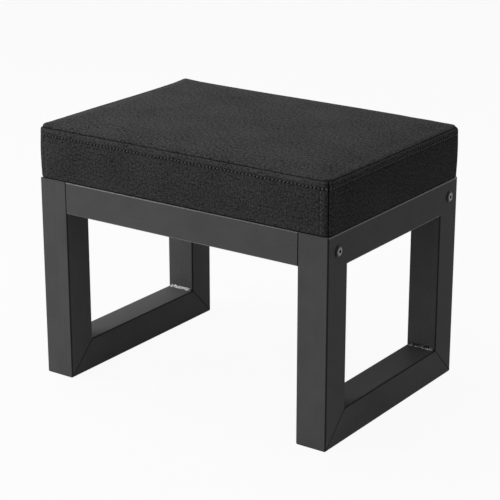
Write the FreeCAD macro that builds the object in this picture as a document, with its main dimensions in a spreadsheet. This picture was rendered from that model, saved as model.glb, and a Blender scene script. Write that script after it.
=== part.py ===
import FreeCAD, Part
import os
import re
import Sketcher

# Shoe fitting stool: two closed end frames of mitred square tube, two rails
# between them, and a boxed upholstered seat on top. Millimetres, +Z up, and
# the origin on the floor under the middle of the stool. +X runs along the
# length, from the left end frame to the right one, and -Y is the front.

DOC = FreeCAD.newDocument("shoe_fitting_stool")

# Driving dimensions: alias, value, what it measures
SIZES = (
    ("frame_length", 410, "over the two end frames, along X"),
    ("frame_depth", 288, "front to rear over an end frame, along Y"),
    ("frame_height", 252, "floor to the top of the tubes"),
    ("tube_side", 40, "outer side of the square tube"),
    ("tube_wall", 2, "wall of the square tube"),
    ("tube_corner", 2, "outer corner radius of the tube"),
    ("tube_inner_corner", 0.6, "inner corner radius of the tube"),
    ("mitre_groove", 0.6, "bevel of the tube ends along the mitres left unground"),
    ("overrun", 5, "how far every cutting shape runs past what it cuts"),
    ("frame_screw_thread", 8, "thread diameter of the frame screws"),
    ("frame_screw_head", 14, "head diameter of the frame screws"),
    ("frame_screw_head_height", 2.4, "head height of the frame screws"),
    ("frame_screw_socket", 4, "hexagon key size of the frame screws"),
    ("frame_screw_socket_depth", 1.8, "depth of the hexagon in the head"),
    ("frame_screw_length", 55, "under the head to the tip"),
    ("seat_screw_thread", 6, "thread diameter of the seat screws"),
    ("seat_screw_head", 10.5, "head diameter of the seat screws"),
    ("seat_screw_head_height", 3.3, "head height of the seat screws"),
    ("seat_screw_socket", 4, "hexagon key size of the seat screws"),
    ("seat_screw_socket_depth", 2, "depth of the hexagon in the head"),
    ("seat_screw_length", 18, "under the head to the tip"),
    ("head_flat_share", 0.56, "flat top of a head, as a share of its radius"),
    ("head_rim_share", 0.16, "straight rim of a head, as a share of its height"),
    ("head_dome_share", 0.72, "radius of a head's dome, as a share of its radius"),
    ("tip_chamfer_share", 0.1, "chamfer at a tip, as a share of the thread"),
    ("screw_clearance", 0.3, "between a screw and a clearance hole, each side"),
    ("thread_clearance", 0.08, "between a screw and a nut's thread, each side"),
    ("sleeve_wall", 2, "wall of the sleeves round the frame screws"),
    ("end_plate_thickness", 4, "plates welded into the rails' ends"),
    ("end_plate_clearance", 0.2, "between an end plate and the tube's inside"),
    ("frame_nut_flats", 13, "across the flats of the weld nuts"),
    ("frame_nut_height", 6.5, "height of the weld nuts"),
    ("bead_leg", 3.5, "leg of the weld beads inside the frames' corners"),
    ("bead_round_share", 1.2, "radius of a bead's face, as a share of its leg"),
    ("bead_end", 2.5, "from the side of the tube to the end of a bead"),
    ("tab_thickness", 3, "plates under the seat"),
    ("tab_width", 30, "width of a seat tab, along X"),
    ("tab_reach", 30, "how far a seat tab stands out from its rail"),
    ("tab_corner", 5, "radius of a seat tab's free corners"),
    ("tab_spacing", 210, "between the middles of a rail's two tabs"),
    ("seat_overhang", 1, "how far the seat stands past the frame all round"),
    ("seat_rise", 69, "top of the frame to the edge of the seat's top"),
    ("seat_crown", 2.5, "rise of the seat's middle above that edge"),
    ("crown_reach_share", 0.76, "part of the half depth in which the crown rises"),
    ("seam_drop", 6.6, "edge of the seat's top down to the seam"),
    ("seam_draw", 1.1, "how far the seam pulls the sides in"),
    ("side_swell", 0.7, "how far the sides stand out between their seams"),
    ("edge_round", 11.5, "how far the rolled top edge reaches inwards"),
    ("base_roll", 2.8, "roll of the cover's bottom edge"),
    ("plan_corner", 9.5, "corner radius of the seat, seen from above"),
    ("cover_thickness", 1.2, "upholstery fabric with its backing"),
    ("hem_width", 24, "seat outline to the cover's raw edge underneath"),
    ("foam_clearance", 0.3, "between the foam and the cover"),
    ("board_thickness", 15, "plywood seat board"),
    ("board_clearance", 0.3, "between the board and the cover's roll"),
    ("cloth_thickness", 0.8, "cloth under the seat"),
    ("cloth_inset", 14, "seat outline to the edge of the cloth"),
    ("tee_nut_flange", 19, "flange diameter of the tee nuts"),
    ("tee_nut_flange_thickness", 1.5, "flange thickness of the tee nuts"),
    ("tee_nut_barrel", 7.8, "barrel diameter of the tee nuts"),
    ("tee_nut_length", 10, "overall length of the tee nuts"),
    ("tee_nut_clearance", 0.1, "between a tee nut and its bore, each side"),
    ("staple_crown", 10, "length of a staple's crown"),
    ("staple_wire", 0.9, "width and thickness of the staple wire"),
    ("staple_leg", 9, "length of a staple's legs"),
    ("staple_inset", 13, "seat outline to the line of staples"),
    ("staple_corner", 36, "seat corner to the first staple"),
    ("staple_pitch", 38, "about the distance from staple to staple"),
    ("staple_clearance", 0.05, "between a staple and the slot that it makes"),
)

SHEET = DOC.addObject("Spreadsheet::Sheet", "sizes")
for row, (alias, size, meaning) in enumerate(SIZES, start=1):
    SHEET.set(f"A{row}", alias)
    SHEET.set(f"B{row}", str(size))
    SHEET.set(f"C{row}", meaning)
    SHEET.setAlias(f"B{row}", alias)
DOC.recompute()

# Names of the places that several pieces share, as sums of the sizes above
SEAT_HALF_LENGTH = "frame_length / 2 + seat_overhang"
SEAT_HALF_DEPTH = "frame_depth / 2 + seat_overhang"
INNER_END = "frame_length / 2 - tube_side"
INNER_FRONT = "frame_depth / 2 - tube_side"
FRAME_MIDDLE = "frame_length / 2 - tube_side / 2"
RAIL_MIDDLE = "frame_depth / 2 - tube_side / 2"
SCREW_HEIGHT = "frame_height - tube_side / 2"
SEAM_LEVEL = "seat_rise - seam_drop"
BOARD_BOTTOM = "cloth_thickness + cover_thickness"
BOARD_TOP = f"{BOARD_BOTTOM} + board_thickness"
BOARD_CORNER = "plan_corner - base_roll"
TAB_HOLE = "tab_reach / 2"
TAB_HOLES = tuple(
    (f"{end} * tab_spacing / 2", f"{sign} * ({INNER_FRONT} - {TAB_HOLE})")
    for sign in (-1, 1)
    for end in (-1, 1)
)
CROWN_STEP_SHARES = (0.25, 0.55, 1)
# Turns of the rolled top edge in degrees, from the seam up to the seat's top
ROLL_TURNS = (25, 40, 62, 90)


def bound(formula):
    """A sum of named sizes, written on the sheet's cells."""
    return re.sub(r"\b[a-z_]+\b(?!\()", lambda word: "sizes." + word.group(0), formula)


def number(formula):
    """The value that a sum of named sizes has now."""
    return float(SHEET.evalExpression(bound(formula)))


def turned(local_x, local_z):
    """The rotation that lays a piece's own X and Z axes along two directions."""
    along_x, along_z = FreeCAD.Vector(*local_x), FreeCAD.Vector(*local_z)
    return FreeCAD.Rotation(along_x, along_z.cross(along_x), along_z, "ZXY")


def place(piece, rotation, x, y, z):
    """Sets a piece's rotation and ties its position to the sheet."""
    piece.Placement = FreeCAD.Placement(FreeCAD.Vector(), rotation)
    for axis, formula in zip("xyz", (x, y, z)):
        piece.setExpression(f"Placement.Base.{axis}", bound(formula))


# Sketches

def sketch_on(body, plane, name, level="0"):
    """A sketch on one of the body's origin planes, or parallel to it at a level."""
    sketch = body.newObject("Sketcher::SketchObject", name)
    origin = next(item for item in body.Origin.OriginFeatures if item.Role == plane)
    sketch.AttachmentSupport = [(origin, "")]
    sketch.MapMode = "FlatFace"
    sketch.setExpression("AttachmentOffset.Base.z", bound(level))
    return sketch


def hold(sketch, edge, end, x, y):
    """Ties one point of a sketch to its two distances from the origin."""
    for kind, axis, formula in (("DistanceX", -2, x), ("DistanceY", -1, y)):
        size = number(formula)
        if size == 0:
            sketch.addConstraint(Sketcher.Constraint("PointOnObject", edge, end, axis))
            continue
        if size > 0:
            held = Sketcher.Constraint(kind, -1, 1, edge, end, size)
        else:
            held = Sketcher.Constraint(kind, edge, end, -1, 1, -size)
            formula = f"-({formula})"
        index = sketch.addConstraint(held)
        sketch.setExpression(f"Constraints[{index}]", bound(formula))


def draw_outline(sketch, points, arcs=None):
    """Draws a closed outline anticlockwise; arcs gives the radius of each side that bulges outwards."""
    arcs = arcs or {}
    first = sketch.GeometryCount
    places = [FreeCAD.Vector(number(x), number(y), 0) for x, y in points]
    for side, start in enumerate(places):
        end = places[(side + 1) % len(places)]
        if side in arcs:
            sketch.addGeometry(outward_arc(start, end, number(arcs[side])), False)
        else:
            sketch.addGeometry(Part.LineSegment(start, end), False)
    for side in range(len(points)):
        following = first + (side + 1) % len(points)
        sketch.addConstraint(Sketcher.Constraint("Coincident", first + side, 2, following, 1))
    for side, (x, y) in enumerate(points):
        hold(sketch, first + side, 1, x, y)
    for side, radius in arcs.items():
        held = Sketcher.Constraint("Radius", first + side, number(radius))
        index = sketch.addConstraint(held)
        sketch.setExpression(f"Constraints[{index}]", bound(radius))


def outward_arc(start, end, radius):
    """The anticlockwise arc of a given radius between two points."""
    middle, chord = (start + end) / 2, end - start
    inwards = FreeCAD.Vector(-chord.y, chord.x, 0).normalize()
    reach = max(radius ** 2 - (chord.Length / 2) ** 2, 0) ** 0.5
    centre = middle + inwards * reach
    return Part.Arc(start, centre - inwards * radius, end)


def draw_circle(sketch, x, y, radius):
    """Draws a circle held by its centre and radius."""
    centre = FreeCAD.Vector(number(x), number(y), 0)
    upright = FreeCAD.Vector(0, 0, 1)
    edge = sketch.addGeometry(Part.Circle(centre, upright, number(radius)), False)
    hold(sketch, edge, 3, x, y)
    index = sketch.addConstraint(Sketcher.Constraint("Radius", edge, number(radius)))
    sketch.setExpression(f"Constraints[{index}]", bound(radius))


def draw_square(sketch, half):
    """Draws a square about the origin."""
    less = f"-({half})"
    draw_outline(sketch, ((less, less), (half, less), (half, half), (less, half)))


def draw_hexagon(sketch, flats):
    """Draws a hexagon about the origin, from its size across the flats."""
    flat, corner = f"{flats} / 2", f"{flats} / sqrt(3)"
    right = ((flat, f"-{corner} / 2"), (flat, f"{corner} / 2"), ("0", corner))
    left = ((f"-{flat}", f"{corner} / 2"), (f"-{flat}", f"-{corner} / 2"), ("0", f"-{corner}"))
    draw_outline(sketch, right + left)


def draw_rounded_rectangle(sketch, half_x, half_y, corner):
    """Draws a rectangle about the origin with a quarter circle at each corner."""
    x, y = f"({half_x})", f"({half_y})"
    short_x, short_y = f"({x} - ({corner}))", f"({y} - ({corner}))"
    points = (
        (f"-{short_x}", f"-{y}"),
        (short_x, f"-{y}"),
        (x, f"-{short_y}"),
        (x, short_y),
        (short_x, y),
        (f"-{short_x}", y),
        (f"-{x}", short_y),
        (f"-{x}", f"-{short_y}"),
    )
    draw_outline(sketch, points, {side: corner for side in (1, 3, 5, 7)})


# Features

def new_body(label):
    """An empty body with a label of its own."""
    body = DOC.addObject("PartDesign::Body", label)
    body.Label = label
    return body


def pad(body, sketch, length):
    """Thickens a sketch into a solid."""
    feature = body.newObject("PartDesign::Pad", "pad")
    feature.Profile = sketch
    feature.setExpression("Length", bound(length))
    return feature


def pocket(body, sketch, depth=None, upwards=False):
    """Cuts a sketch to a depth, or both ways through everything."""
    feature = body.newObject("PartDesign::Pocket", "pocket")
    feature.Profile = sketch
    if depth is None:
        feature.SideType = "Symmetric"
        feature.Type = "ThroughAll"
    else:
        feature.Reversed = upwards
        feature.setExpression("Length", bound(depth))
    return feature


def revolve(body, sketch):
    """Turns a sketch round its upright axis."""
    feature = body.newObject("PartDesign::Revolution", "revolution")
    feature.Profile = sketch
    feature.ReferenceAxis = (sketch, ["V_Axis"])
    feature.Angle = 360
    return feature


def picked_edges(base, chosen):
    """The names of the edges of the solid so far that a test picks."""
    DOC.recompute()
    return [f"Edge{place + 1}" for place, edge in enumerate(base.Shape.Edges) if chosen(edge)]


def round_edges(body, base, radius, chosen):
    """Rounds the edges that a test picks."""
    feature = body.newObject("PartDesign::Fillet", "fillet")
    feature.Base = (base, picked_edges(base, chosen))
    feature.setExpression("Radius", bound(radius))
    return feature


def bevel_edges(body, base, size, chosen):
    """Bevels the edges that a test picks."""
    feature = body.newObject("PartDesign::Chamfer", "chamfer")
    feature.Base = (base, picked_edges(base, chosen))
    feature.setExpression("Size", bound(size))
    return feature


def upright_edges_at(reach):
    """A test for edges along Z whose X and Y are both a distance from the middle."""
    def chosen(edge):
        start, end = edge.Vertexes[0].Point, edge.Vertexes[-1].Point
        upright = abs(start.x - end.x) + abs(start.y - end.y) < Part.Precision.confusion()
        return upright and abs(abs(start.x) - reach) + abs(abs(start.y) - reach) < reach * 0.01
    return chosen


def outer_mitre_edges(start, slope):
    """A test for edges round the outside of a mitre, whose plane rises along X from a level in the middle."""
    outside = number("tube_side / 2 - tube_wall / 2")

    def chosen(edge):
        points = [vertex.Point for vertex in edge.Vertexes]
        points.append(edge.valueAt((edge.FirstParameter + edge.LastParameter) / 2))
        off_plane = max(abs(point.z - start - slope * point.x) for point in points)
        if off_plane > Part.Precision.confusion():
            return False
        return all(max(abs(point.x), abs(point.y)) > outside for point in points)
    return chosen


def loft(body, sections, kind="Additive", ruled=False):
    """Joins the body to a form through level sections, or cuts it by one."""
    feature = body.newObject(f"PartDesign::{kind}Loft", "loft")
    feature.Profile = sections[0]
    feature.Sections = sections[1:]
    feature.Ruled = ruled
    return feature


def group(label, bodies):
    """One node of several separate solids."""
    compound = DOC.addObject("Part::Compound", label)
    compound.Label = label
    compound.Links = bodies
    return compound


def cut(label, base, tool):
    """One node made by cutting a piece by a tool."""
    result = DOC.addObject("Part::Cut", label)
    result.Label = label
    result.Base, result.Tool = base, tool
    return result


# Square tube

def square_tube(label, length):
    """A length of square tube along its own Z, with rounded corners inside and out."""
    body = new_body(label)
    outer, inner = "tube_side / 2", "(tube_side / 2 - tube_wall)"
    section = sketch_on(body, "XY_Plane", "section")
    draw_square(section, outer)
    draw_square(section, inner)
    solid = pad(body, section, length)
    solid = round_edges(body, solid, "tube_corner", upright_edges_at(number(outer)))
    round_edges(body, solid, "tube_inner_corner", upright_edges_at(number(inner)))
    return body


def mitred_tube(label, length, screw_levels, groove_low=False, groove_high=False):
    """A frame member, mitred at both ends towards its own +X, with holes for the frame screws.

    The mitres on the floor keep a fine groove, and those under the seat are ground flush.
    """
    body = square_tube(label, length)
    out, side = "(tube_side / 2 + overrun)", "(tube_side + overrun)"
    past_end = f"{length} + overrun"
    low_end = ((f"-{out}", "-overrun"), (out, "-overrun"), (out, side))
    high_end = ((out, f"{length} - {side}"), (out, past_end), (f"-{out}", past_end))
    mitre = sketch_on(body, "XZ_Plane", "mitre")
    draw_outline(mitre, low_end)
    draw_outline(mitre, high_end)
    solid = pocket(body, mitre)
    half = number("tube_side / 2")
    if groove_low:
        solid = bevel_edges(body, solid, "mitre_groove", outer_mitre_edges(half, 1))
    if groove_high:
        bevel_edges(body, solid, "mitre_groove", outer_mitre_edges(number(length) - half, -1))
    if screw_levels:
        holes = sketch_on(body, "XZ_Plane", "screw_holes")
        for level in screw_levels:
            draw_circle(holes, "0", level, "frame_screw_thread / 2 + screw_clearance")
        pocket(body, holes)
    return body


def end_frame(side, sign):
    """The four mitred tubes of one end frame; their mitres meet in planes through the corners."""
    middle = f"{sign} * ({FRAME_MIDDLE})"
    top_hole, bottom_hole = "{} - tube_side / 2", "tube_side / 2"
    upright, along = (0, 0, 1), (0, 1, 0)
    leg_hole = (top_hole.format("frame_height"),)
    front_leg = mitred_tube(f"{side}_front_leg", "frame_height", leg_hole, groove_low=True)
    place(front_leg, turned((0, 1, 0), upright), middle, f"-({RAIL_MIDDLE})", "0")
    rear_leg = mitred_tube(f"{side}_rear_leg", "frame_height", leg_hole, groove_low=True)
    place(rear_leg, turned((0, -1, 0), upright), middle, RAIL_MIDDLE, "0")
    both_holes = (bottom_hole, top_hole.format("frame_depth"))
    top_tube = mitred_tube(f"{side}_top_tube", "frame_depth", both_holes)
    place(top_tube, turned((0, 0, -1), along), middle, "-frame_depth / 2", SCREW_HEIGHT)
    bottom_tube = mitred_tube(f"{side}_bottom_tube", "frame_depth", (), groove_low=True, groove_high=True)
    place(bottom_tube, turned((0, 0, 1), along), middle, "-frame_depth / 2", "tube_side / 2")
    return [front_leg, rear_leg, top_tube, bottom_tube]


def weld_beads(side, sign):
    """The fillet welds across the four inside corners of one end frame."""
    beads = []
    length = "tube_side - 2 * bead_end"
    for toward_y, y in ((1, f"-({INNER_FRONT})"), (-1, INNER_FRONT)):
        for toward_z, z in ((1, "tube_side"), (-1, "frame_height - tube_side")):
            bead = new_body("weld_bead")
            section = sketch_on(bead, "XY_Plane", "section")
            corners = (("0", "0"), ("bead_leg", "0"), ("0", "bead_leg"))
            draw_outline(section, corners, {1: "bead_round_share * bead_leg"})
            pad(bead, section, length)
            handed = toward_y * toward_z
            start = f"{sign} * ({FRAME_MIDDLE}) - {handed} * ({length}) / 2"
            place(bead, turned((0, toward_y, 0), (handed, 0, 0)), start, y, z)
            beads.append(bead)
    return group(f"{side}_frame_weld_beads", beads)


# Rails and what joins them to the end frames

def rail(label, sign):
    """A square-cut tube between the end frames, flush with their tops and faces."""
    body = square_tube(label, "frame_length - 2 * tube_side")
    start = f"-({INNER_END})"
    place(body, turned((0, 1, 0), (1, 0, 0)), start, f"{sign} * ({RAIL_MIDDLE})", SCREW_HEIGHT)
    return body


def rail_end_plates(label, sign):
    """The two plates welded into a rail's ends, each with a hole for its frame screw."""
    plates = []
    half = "(tube_side / 2 - tube_wall - end_plate_clearance)"
    for end in (-1, 1):
        plate = new_body("rail_end_plate")
        outline = sketch_on(plate, "XY_Plane", "outline")
        draw_rounded_rectangle(outline, half, half, "tube_inner_corner + end_plate_clearance")
        draw_circle(outline, "0", "0", "frame_screw_thread / 2 + screw_clearance")
        pad(plate, outline, "end_plate_thickness")
        inwards = turned((0, 1, 0), (-end, 0, 0))
        place(plate, inwards, f"{end} * ({INNER_END})", f"{sign} * ({RAIL_MIDDLE})", SCREW_HEIGHT)
        plates.append(plate)
    return group(label, plates)


def at_frame_screws(label, make, reach):
    """A node of one piece at each of the four frame screws, standing inwards from a distance along X."""
    pieces = []
    for end in (-1, 1):
        for sign in (-1, 1):
            piece = make()
            inwards = turned((0, 1, 0), (-end, 0, 0))
            place(piece, inwards, f"{end} * ({reach})", f"{sign} * ({RAIL_MIDDLE})", SCREW_HEIGHT)
            pieces.append(piece)
    return group(label, pieces)


def weld_nut():
    """A hexagon nut behind a rail's end plate."""
    body = new_body("weld_nut")
    outline = sketch_on(body, "XY_Plane", "outline")
    draw_hexagon(outline, "frame_nut_flats")
    draw_circle(outline, "0", "0", "frame_screw_thread / 2 + thread_clearance")
    pad(body, outline, "frame_nut_height")
    return body


def screw_sleeve():
    """A sleeve between the two walls of the tube, so that the screw can't crush it."""
    body = new_body("screw_sleeve")
    bore = "frame_screw_thread / 2 + screw_clearance"
    outline = sketch_on(body, "XY_Plane", "outline")
    draw_circle(outline, "0", "0", bore)
    draw_circle(outline, "0", "0", f"{bore} + sleeve_wall")
    pad(body, outline, "tube_side - 2 * tube_wall")
    return body


def button_screw(kind):
    """A socket button-head screw along its own Z: the head below zero, the shank above."""
    body = new_body(kind)
    radius, thread = f"{kind}_head / 2", f"{kind}_thread / 2"
    tip, length = f"tip_chamfer_share * {kind}_thread", f"{kind}_length"
    height = f"{kind}_head_height"
    points = (
        ("0", f"-{height}"),
        (f"head_flat_share * {radius}", f"-{height}"),
        (radius, f"-head_rim_share * {height}"),
        (radius, "0"),
        (thread, "0"),
        (thread, f"{length} - {tip}"),
        (f"{thread} - {tip}", length),
        ("0", length),
    )
    profile = sketch_on(body, "XZ_Plane", "profile")
    draw_outline(profile, points, {1: f"head_dome_share * {radius}"})
    revolve(body, profile)
    socket = sketch_on(body, "XY_Plane", "socket", f"-{height}")
    draw_hexagon(socket, f"{kind}_socket")
    pocket(body, socket, f"{kind}_socket_depth", upwards=True)
    return body


def frame_screw():
    """A screw that holds an end frame to a rail."""
    return button_screw("frame_screw")


def seat_screw():
    """A screw that holds the seat board to a tab."""
    return button_screw("seat_screw")


# Seat fixings

def seat_tabs(label):
    """The plates welded to the rails' inner faces, level with the frame's top."""
    tabs = []
    half, short = "tab_width / 2", "(tab_width / 2 - tab_corner)"
    shoulder = "tab_reach - tab_corner"
    points = (
        (f"-{half}", "0"),
        (half, "0"),
        (half, shoulder),
        (short, "tab_reach"),
        (f"-{short}", "tab_reach"),
        (f"-{half}", shoulder),
    )
    for sign in (-1, 1):
        for end in (-1, 1):
            tab = new_body("seat_tab")
            outline = sketch_on(tab, "XY_Plane", "outline")
            draw_outline(outline, points, {2: "tab_corner", 4: "tab_corner"})
            draw_circle(outline, "0", TAB_HOLE, "seat_screw_thread / 2 + screw_clearance")
            pad(tab, outline, "tab_thickness")
            x, y = f"{end} * tab_spacing / 2", f"{sign} * ({INNER_FRONT})"
            inwards = turned((-sign, 0, 0), (0, 0, 1))
            place(tab, inwards, x, y, "frame_height - tab_thickness")
            tabs.append(tab)
    return group(label, tabs)


def at_tab_holes(label, make, level):
    """A node of one piece in line with each of the four tab holes."""
    pieces = []
    for x, y in TAB_HOLES:
        piece = make()
        place(piece, FreeCAD.Rotation(), x, y, level)
        pieces.append(piece)
    return group(label, pieces)


def tee_nut():
    """A flanged nut let into the top of the seat board, its flange uppermost."""
    body = new_body("tee_nut")
    bore, barrel = "(seat_screw_thread / 2 + thread_clearance)", "tee_nut_barrel / 2"
    flange, shoulder = "tee_nut_flange / 2", "tee_nut_length - tee_nut_flange_thickness"
    points = (
        (bore, "0"),
        (barrel, "0"),
        (barrel, shoulder),
        (flange, shoulder),
        (flange, "tee_nut_length"),
        (bore, "tee_nut_length"),
    )
    profile = sketch_on(body, "XZ_Plane", "profile")
    draw_outline(profile, points)
    revolve(body, profile)
    return body


# Seat board, the cloth under it and the staples

def seat_panel(label, inset, corner, thickness, level):
    """A flat rounded rectangle under the seat, set in from the seat's outline."""
    body = new_body(label)
    outline = sketch_on(body, "XY_Plane", "outline")
    half_x, half_y = f"{SEAT_HALF_LENGTH} - ({inset})", f"{SEAT_HALF_DEPTH} - ({inset})"
    draw_rounded_rectangle(outline, half_x, half_y, corner)
    pad(body, outline, thickness)
    place(body, FreeCAD.Rotation(), "0", "0", f"frame_height + {level}")
    return body


def seat_board():
    """The plywood board, bored for the tee nuts and let in for their flanges."""
    inset = "base_roll + board_clearance"
    body = seat_panel("bored_board", inset, BOARD_CORNER, "board_thickness", BOARD_BOTTOM)
    bores = sketch_on(body, "XY_Plane", "bores")
    recesses = sketch_on(body, "XY_Plane", "recesses", "board_thickness")
    for x, y in TAB_HOLES:
        draw_circle(bores, x, y, "tee_nut_barrel / 2 + tee_nut_clearance")
        draw_circle(recesses, x, y, "tee_nut_flange / 2 + tee_nut_clearance")
    pocket(body, bores)
    pocket(body, recesses, "tee_nut_flange_thickness")
    return body


def underside_cloth():
    """The thin cloth between the frame and the board, holed for the seat screws."""
    body = seat_panel("underside_cloth", "cloth_inset", "plan_corner", "cloth_thickness", "0")
    holes = sketch_on(body, "XY_Plane", "screw_holes")
    for x, y in TAB_HOLES:
        draw_circle(holes, x, y, "seat_screw_thread / 2 + screw_clearance")
    pocket(body, holes)
    return body


def staple_places():
    """The middle of each staple, and whether its crown lies along X."""
    half_x, half_y = number(SEAT_HALF_LENGTH), number(SEAT_HALF_DEPTH)
    inset, corner = number("staple_inset"), number("staple_corner")
    places = []
    for half, other, along_x in ((half_x, half_y, True), (half_y, half_x, False)):
        reach = half - corner
        spaces = max(round(2 * reach / number("staple_pitch")), 1)
        for step in range(spaces + 1):
            along = reach * (2 * step / spaces - 1)
            for edge in (inset - other, other - inset):
                places.append((along, edge, True) if along_x else (edge, along, False))
    return places


def staple_shape(clearance):
    """One staple with its crown along X and its legs upwards, grown all round by a clearance."""
    wire, crown, leg = number("staple_wire"), number("staple_crown"), number("staple_leg")
    thick, grown = wire + 2 * clearance, FreeCAD.Vector(clearance, clearance, clearance)
    low = FreeCAD.Vector(-crown / 2, -wire / 2, 0) - grown
    high = FreeCAD.Vector(crown / 2 - wire, -wire / 2, 0) - grown
    bar = Part.makeBox(crown + 2 * clearance, thick, thick, low)
    legs = [Part.makeBox(thick, thick, leg + 2 * clearance, corner) for corner in (low, high)]
    return bar.fuse(legs).removeSplitter()


def staples(label, clearance):
    """All the staples through the cover's hem into the board, or the slots that they make."""
    level = number("frame_height + cloth_thickness + cover_thickness - staple_wire - staple_clearance")
    upright = FreeCAD.Vector(0, 0, 1)
    shapes = []
    for x, y, along_x in staple_places():
        turn = FreeCAD.Rotation(upright, 0 if along_x else 90)
        shape = staple_shape(clearance)
        shape.Placement = FreeCAD.Placement(FreeCAD.Vector(x, y, level), turn)
        shapes.append(shape)
    feature = DOC.addObject("Part::Feature", label)
    feature.Label = label
    feature.Shape = Part.makeCompound(shapes)
    return feature


# Upholstery: each form is a pile of rounded rectangles, as a level above the
# frame and an inset from the seat's outline, lofted from each to the next

def form_levels(depth):
    """The levels of the seat's sides, rolled edge and crown, on a surface some depth inside the cover."""
    middle = f"({BOARD_TOP} + {SEAM_LEVEL}) / 2"
    seam = (SEAM_LEVEL, f"seam_draw + {depth}")
    sides = [(middle, f"{depth} - side_swell"), seam]
    roll = [seam]
    first = ROLL_TURNS[0]
    for turn in ROLL_TURNS[1:]:
        risen = f"(sin({turn}deg) - sin({first}deg)) / (1 - sin({first}deg))"
        drawn = f"(cos({first}deg) - cos({turn}deg)) / cos({first}deg)"
        level = f"{SEAM_LEVEL} + (seam_drop - ({depth})) * {risen}"
        roll.append((level, f"seam_draw + {depth} + (edge_round - seam_draw) * {drawn}"))
    crown = [roll[-1]]
    for share in CROWN_STEP_SHARES:
        level = f"seat_rise - ({depth}) + seat_crown * (1 - (1 - {share}) ^ 2)"
        inset = f"edge_round + {depth} + {share} * (crown_reach_share * frame_depth / 2)"
        crown.append((level, inset))
    return sides, roll, crown


def level_sketches(body, levels, depth):
    """A rounded rectangle at each level of a form."""
    sketches = []
    for level, inset in levels:
        sketch = sketch_on(body, "XY_Plane", "level", level)
        half_x, half_y = f"{SEAT_HALF_LENGTH} - ({inset})", f"{SEAT_HALF_DEPTH} - ({inset})"
        draw_rounded_rectangle(sketch, half_x, half_y, f"plan_corner - ({depth})")
        sketches.append(sketch)
    return sketches


def seat_foam():
    """The foam block on the board, with its swelling sides, rolled edge and crown."""
    body = new_body("seat_foam")
    depth = "cover_thickness + foam_clearance"
    sides, roll, crown = form_levels(depth)
    base = (BOARD_TOP, depth)
    for levels in ([base] + sides, roll, crown):
        loft(body, level_sketches(body, levels, depth))
    place(body, FreeCAD.Rotation(), "0", "0", "frame_height")
    return body


def seat_top_panel():
    """The cover's crowned top panel, down over the rolled edge to the seam."""
    body = new_body("seat_top_panel")
    for depth, kind in (("0", "Additive"), ("cover_thickness", "Subtractive")):
        sides, roll, crown = form_levels(depth)
        for levels in (roll, crown):
            loft(body, level_sketches(body, levels, depth), kind)
    place(body, FreeCAD.Rotation(), "0", "0", "frame_height")
    return body


def cover_ring():
    """The four side bands in one: the sides, the roll under the board and the hem."""
    body = new_body("cover_ring")
    depth = "cover_thickness"
    bottom, shoulder = "cloth_thickness", "cloth_thickness + base_roll"
    outside, inside = form_levels("0")[0], form_levels(depth)[0]
    loft(body, level_sketches(body, [(bottom, "base_roll"), (shoulder, "0")], "0"), ruled=True)
    loft(body, level_sketches(body, [(shoulder, "0")] + outside, "0"))
    turn = [(f"{bottom} + {depth}", "base_roll"), (shoulder, depth)]
    loft(body, level_sketches(body, turn, depth), "Subtractive", ruled=True)
    loft(body, level_sketches(body, [(shoulder, depth)] + inside, depth), "Subtractive")
    opening = sketch_on(body, "XY_Plane", "hem", shoulder)
    half_x, half_y = f"{SEAT_HALF_LENGTH} - hem_width", f"{SEAT_HALF_DEPTH} - hem_width"
    draw_rounded_rectangle(opening, half_x, half_y, "plan_corner")
    pocket(body, opening, "base_roll + overrun")
    place(body, FreeCAD.Rotation(), "0", "0", "frame_height")
    return body


def band_sector(label, points):
    """The space that one side band takes up between the seams at its two corners."""
    body = new_body(label)
    outline = sketch_on(body, "XY_Plane", "outline")
    draw_outline(outline, points)
    pad(body, outline, "seat_rise + seat_crown")
    place(body, FreeCAD.Rotation(), "0", "0", "frame_height")
    return body


def side_bands(slots):
    """The cover's four side bands, parted at the corners and slotted by the staples."""
    ring = cut("slotted_cover_ring", cover_ring(), slots)
    x, y = f"({SEAT_HALF_LENGTH} + overrun)", f"({SEAT_HALF_DEPTH} + overrun)"
    apex = f"({SEAT_HALF_LENGTH} - ({SEAT_HALF_DEPTH}))"
    sectors = {
        "front_band": ((f"-{x}", f"-{y}"), (x, f"-{y}"), (apex, "0"), (f"-{apex}", "0")),
        "rear_band": ((x, y), (f"-{x}", y), (f"-{apex}", "0"), (apex, "0")),
        "left_band": ((f"-{x}", y), (f"-{x}", f"-{y}"), (f"-{apex}", "0")),
        "right_band": ((x, f"-{y}"), (x, y), (apex, "0")),
    }
    bands = []
    for label, points in sectors.items():
        band = DOC.addObject("Part::Common", label)
        band.Label = label
        band.Base, band.Tool = ring, band_sector(f"{label}_sector", points)
        bands.append(band)
    return bands


# The whole stool

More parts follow.
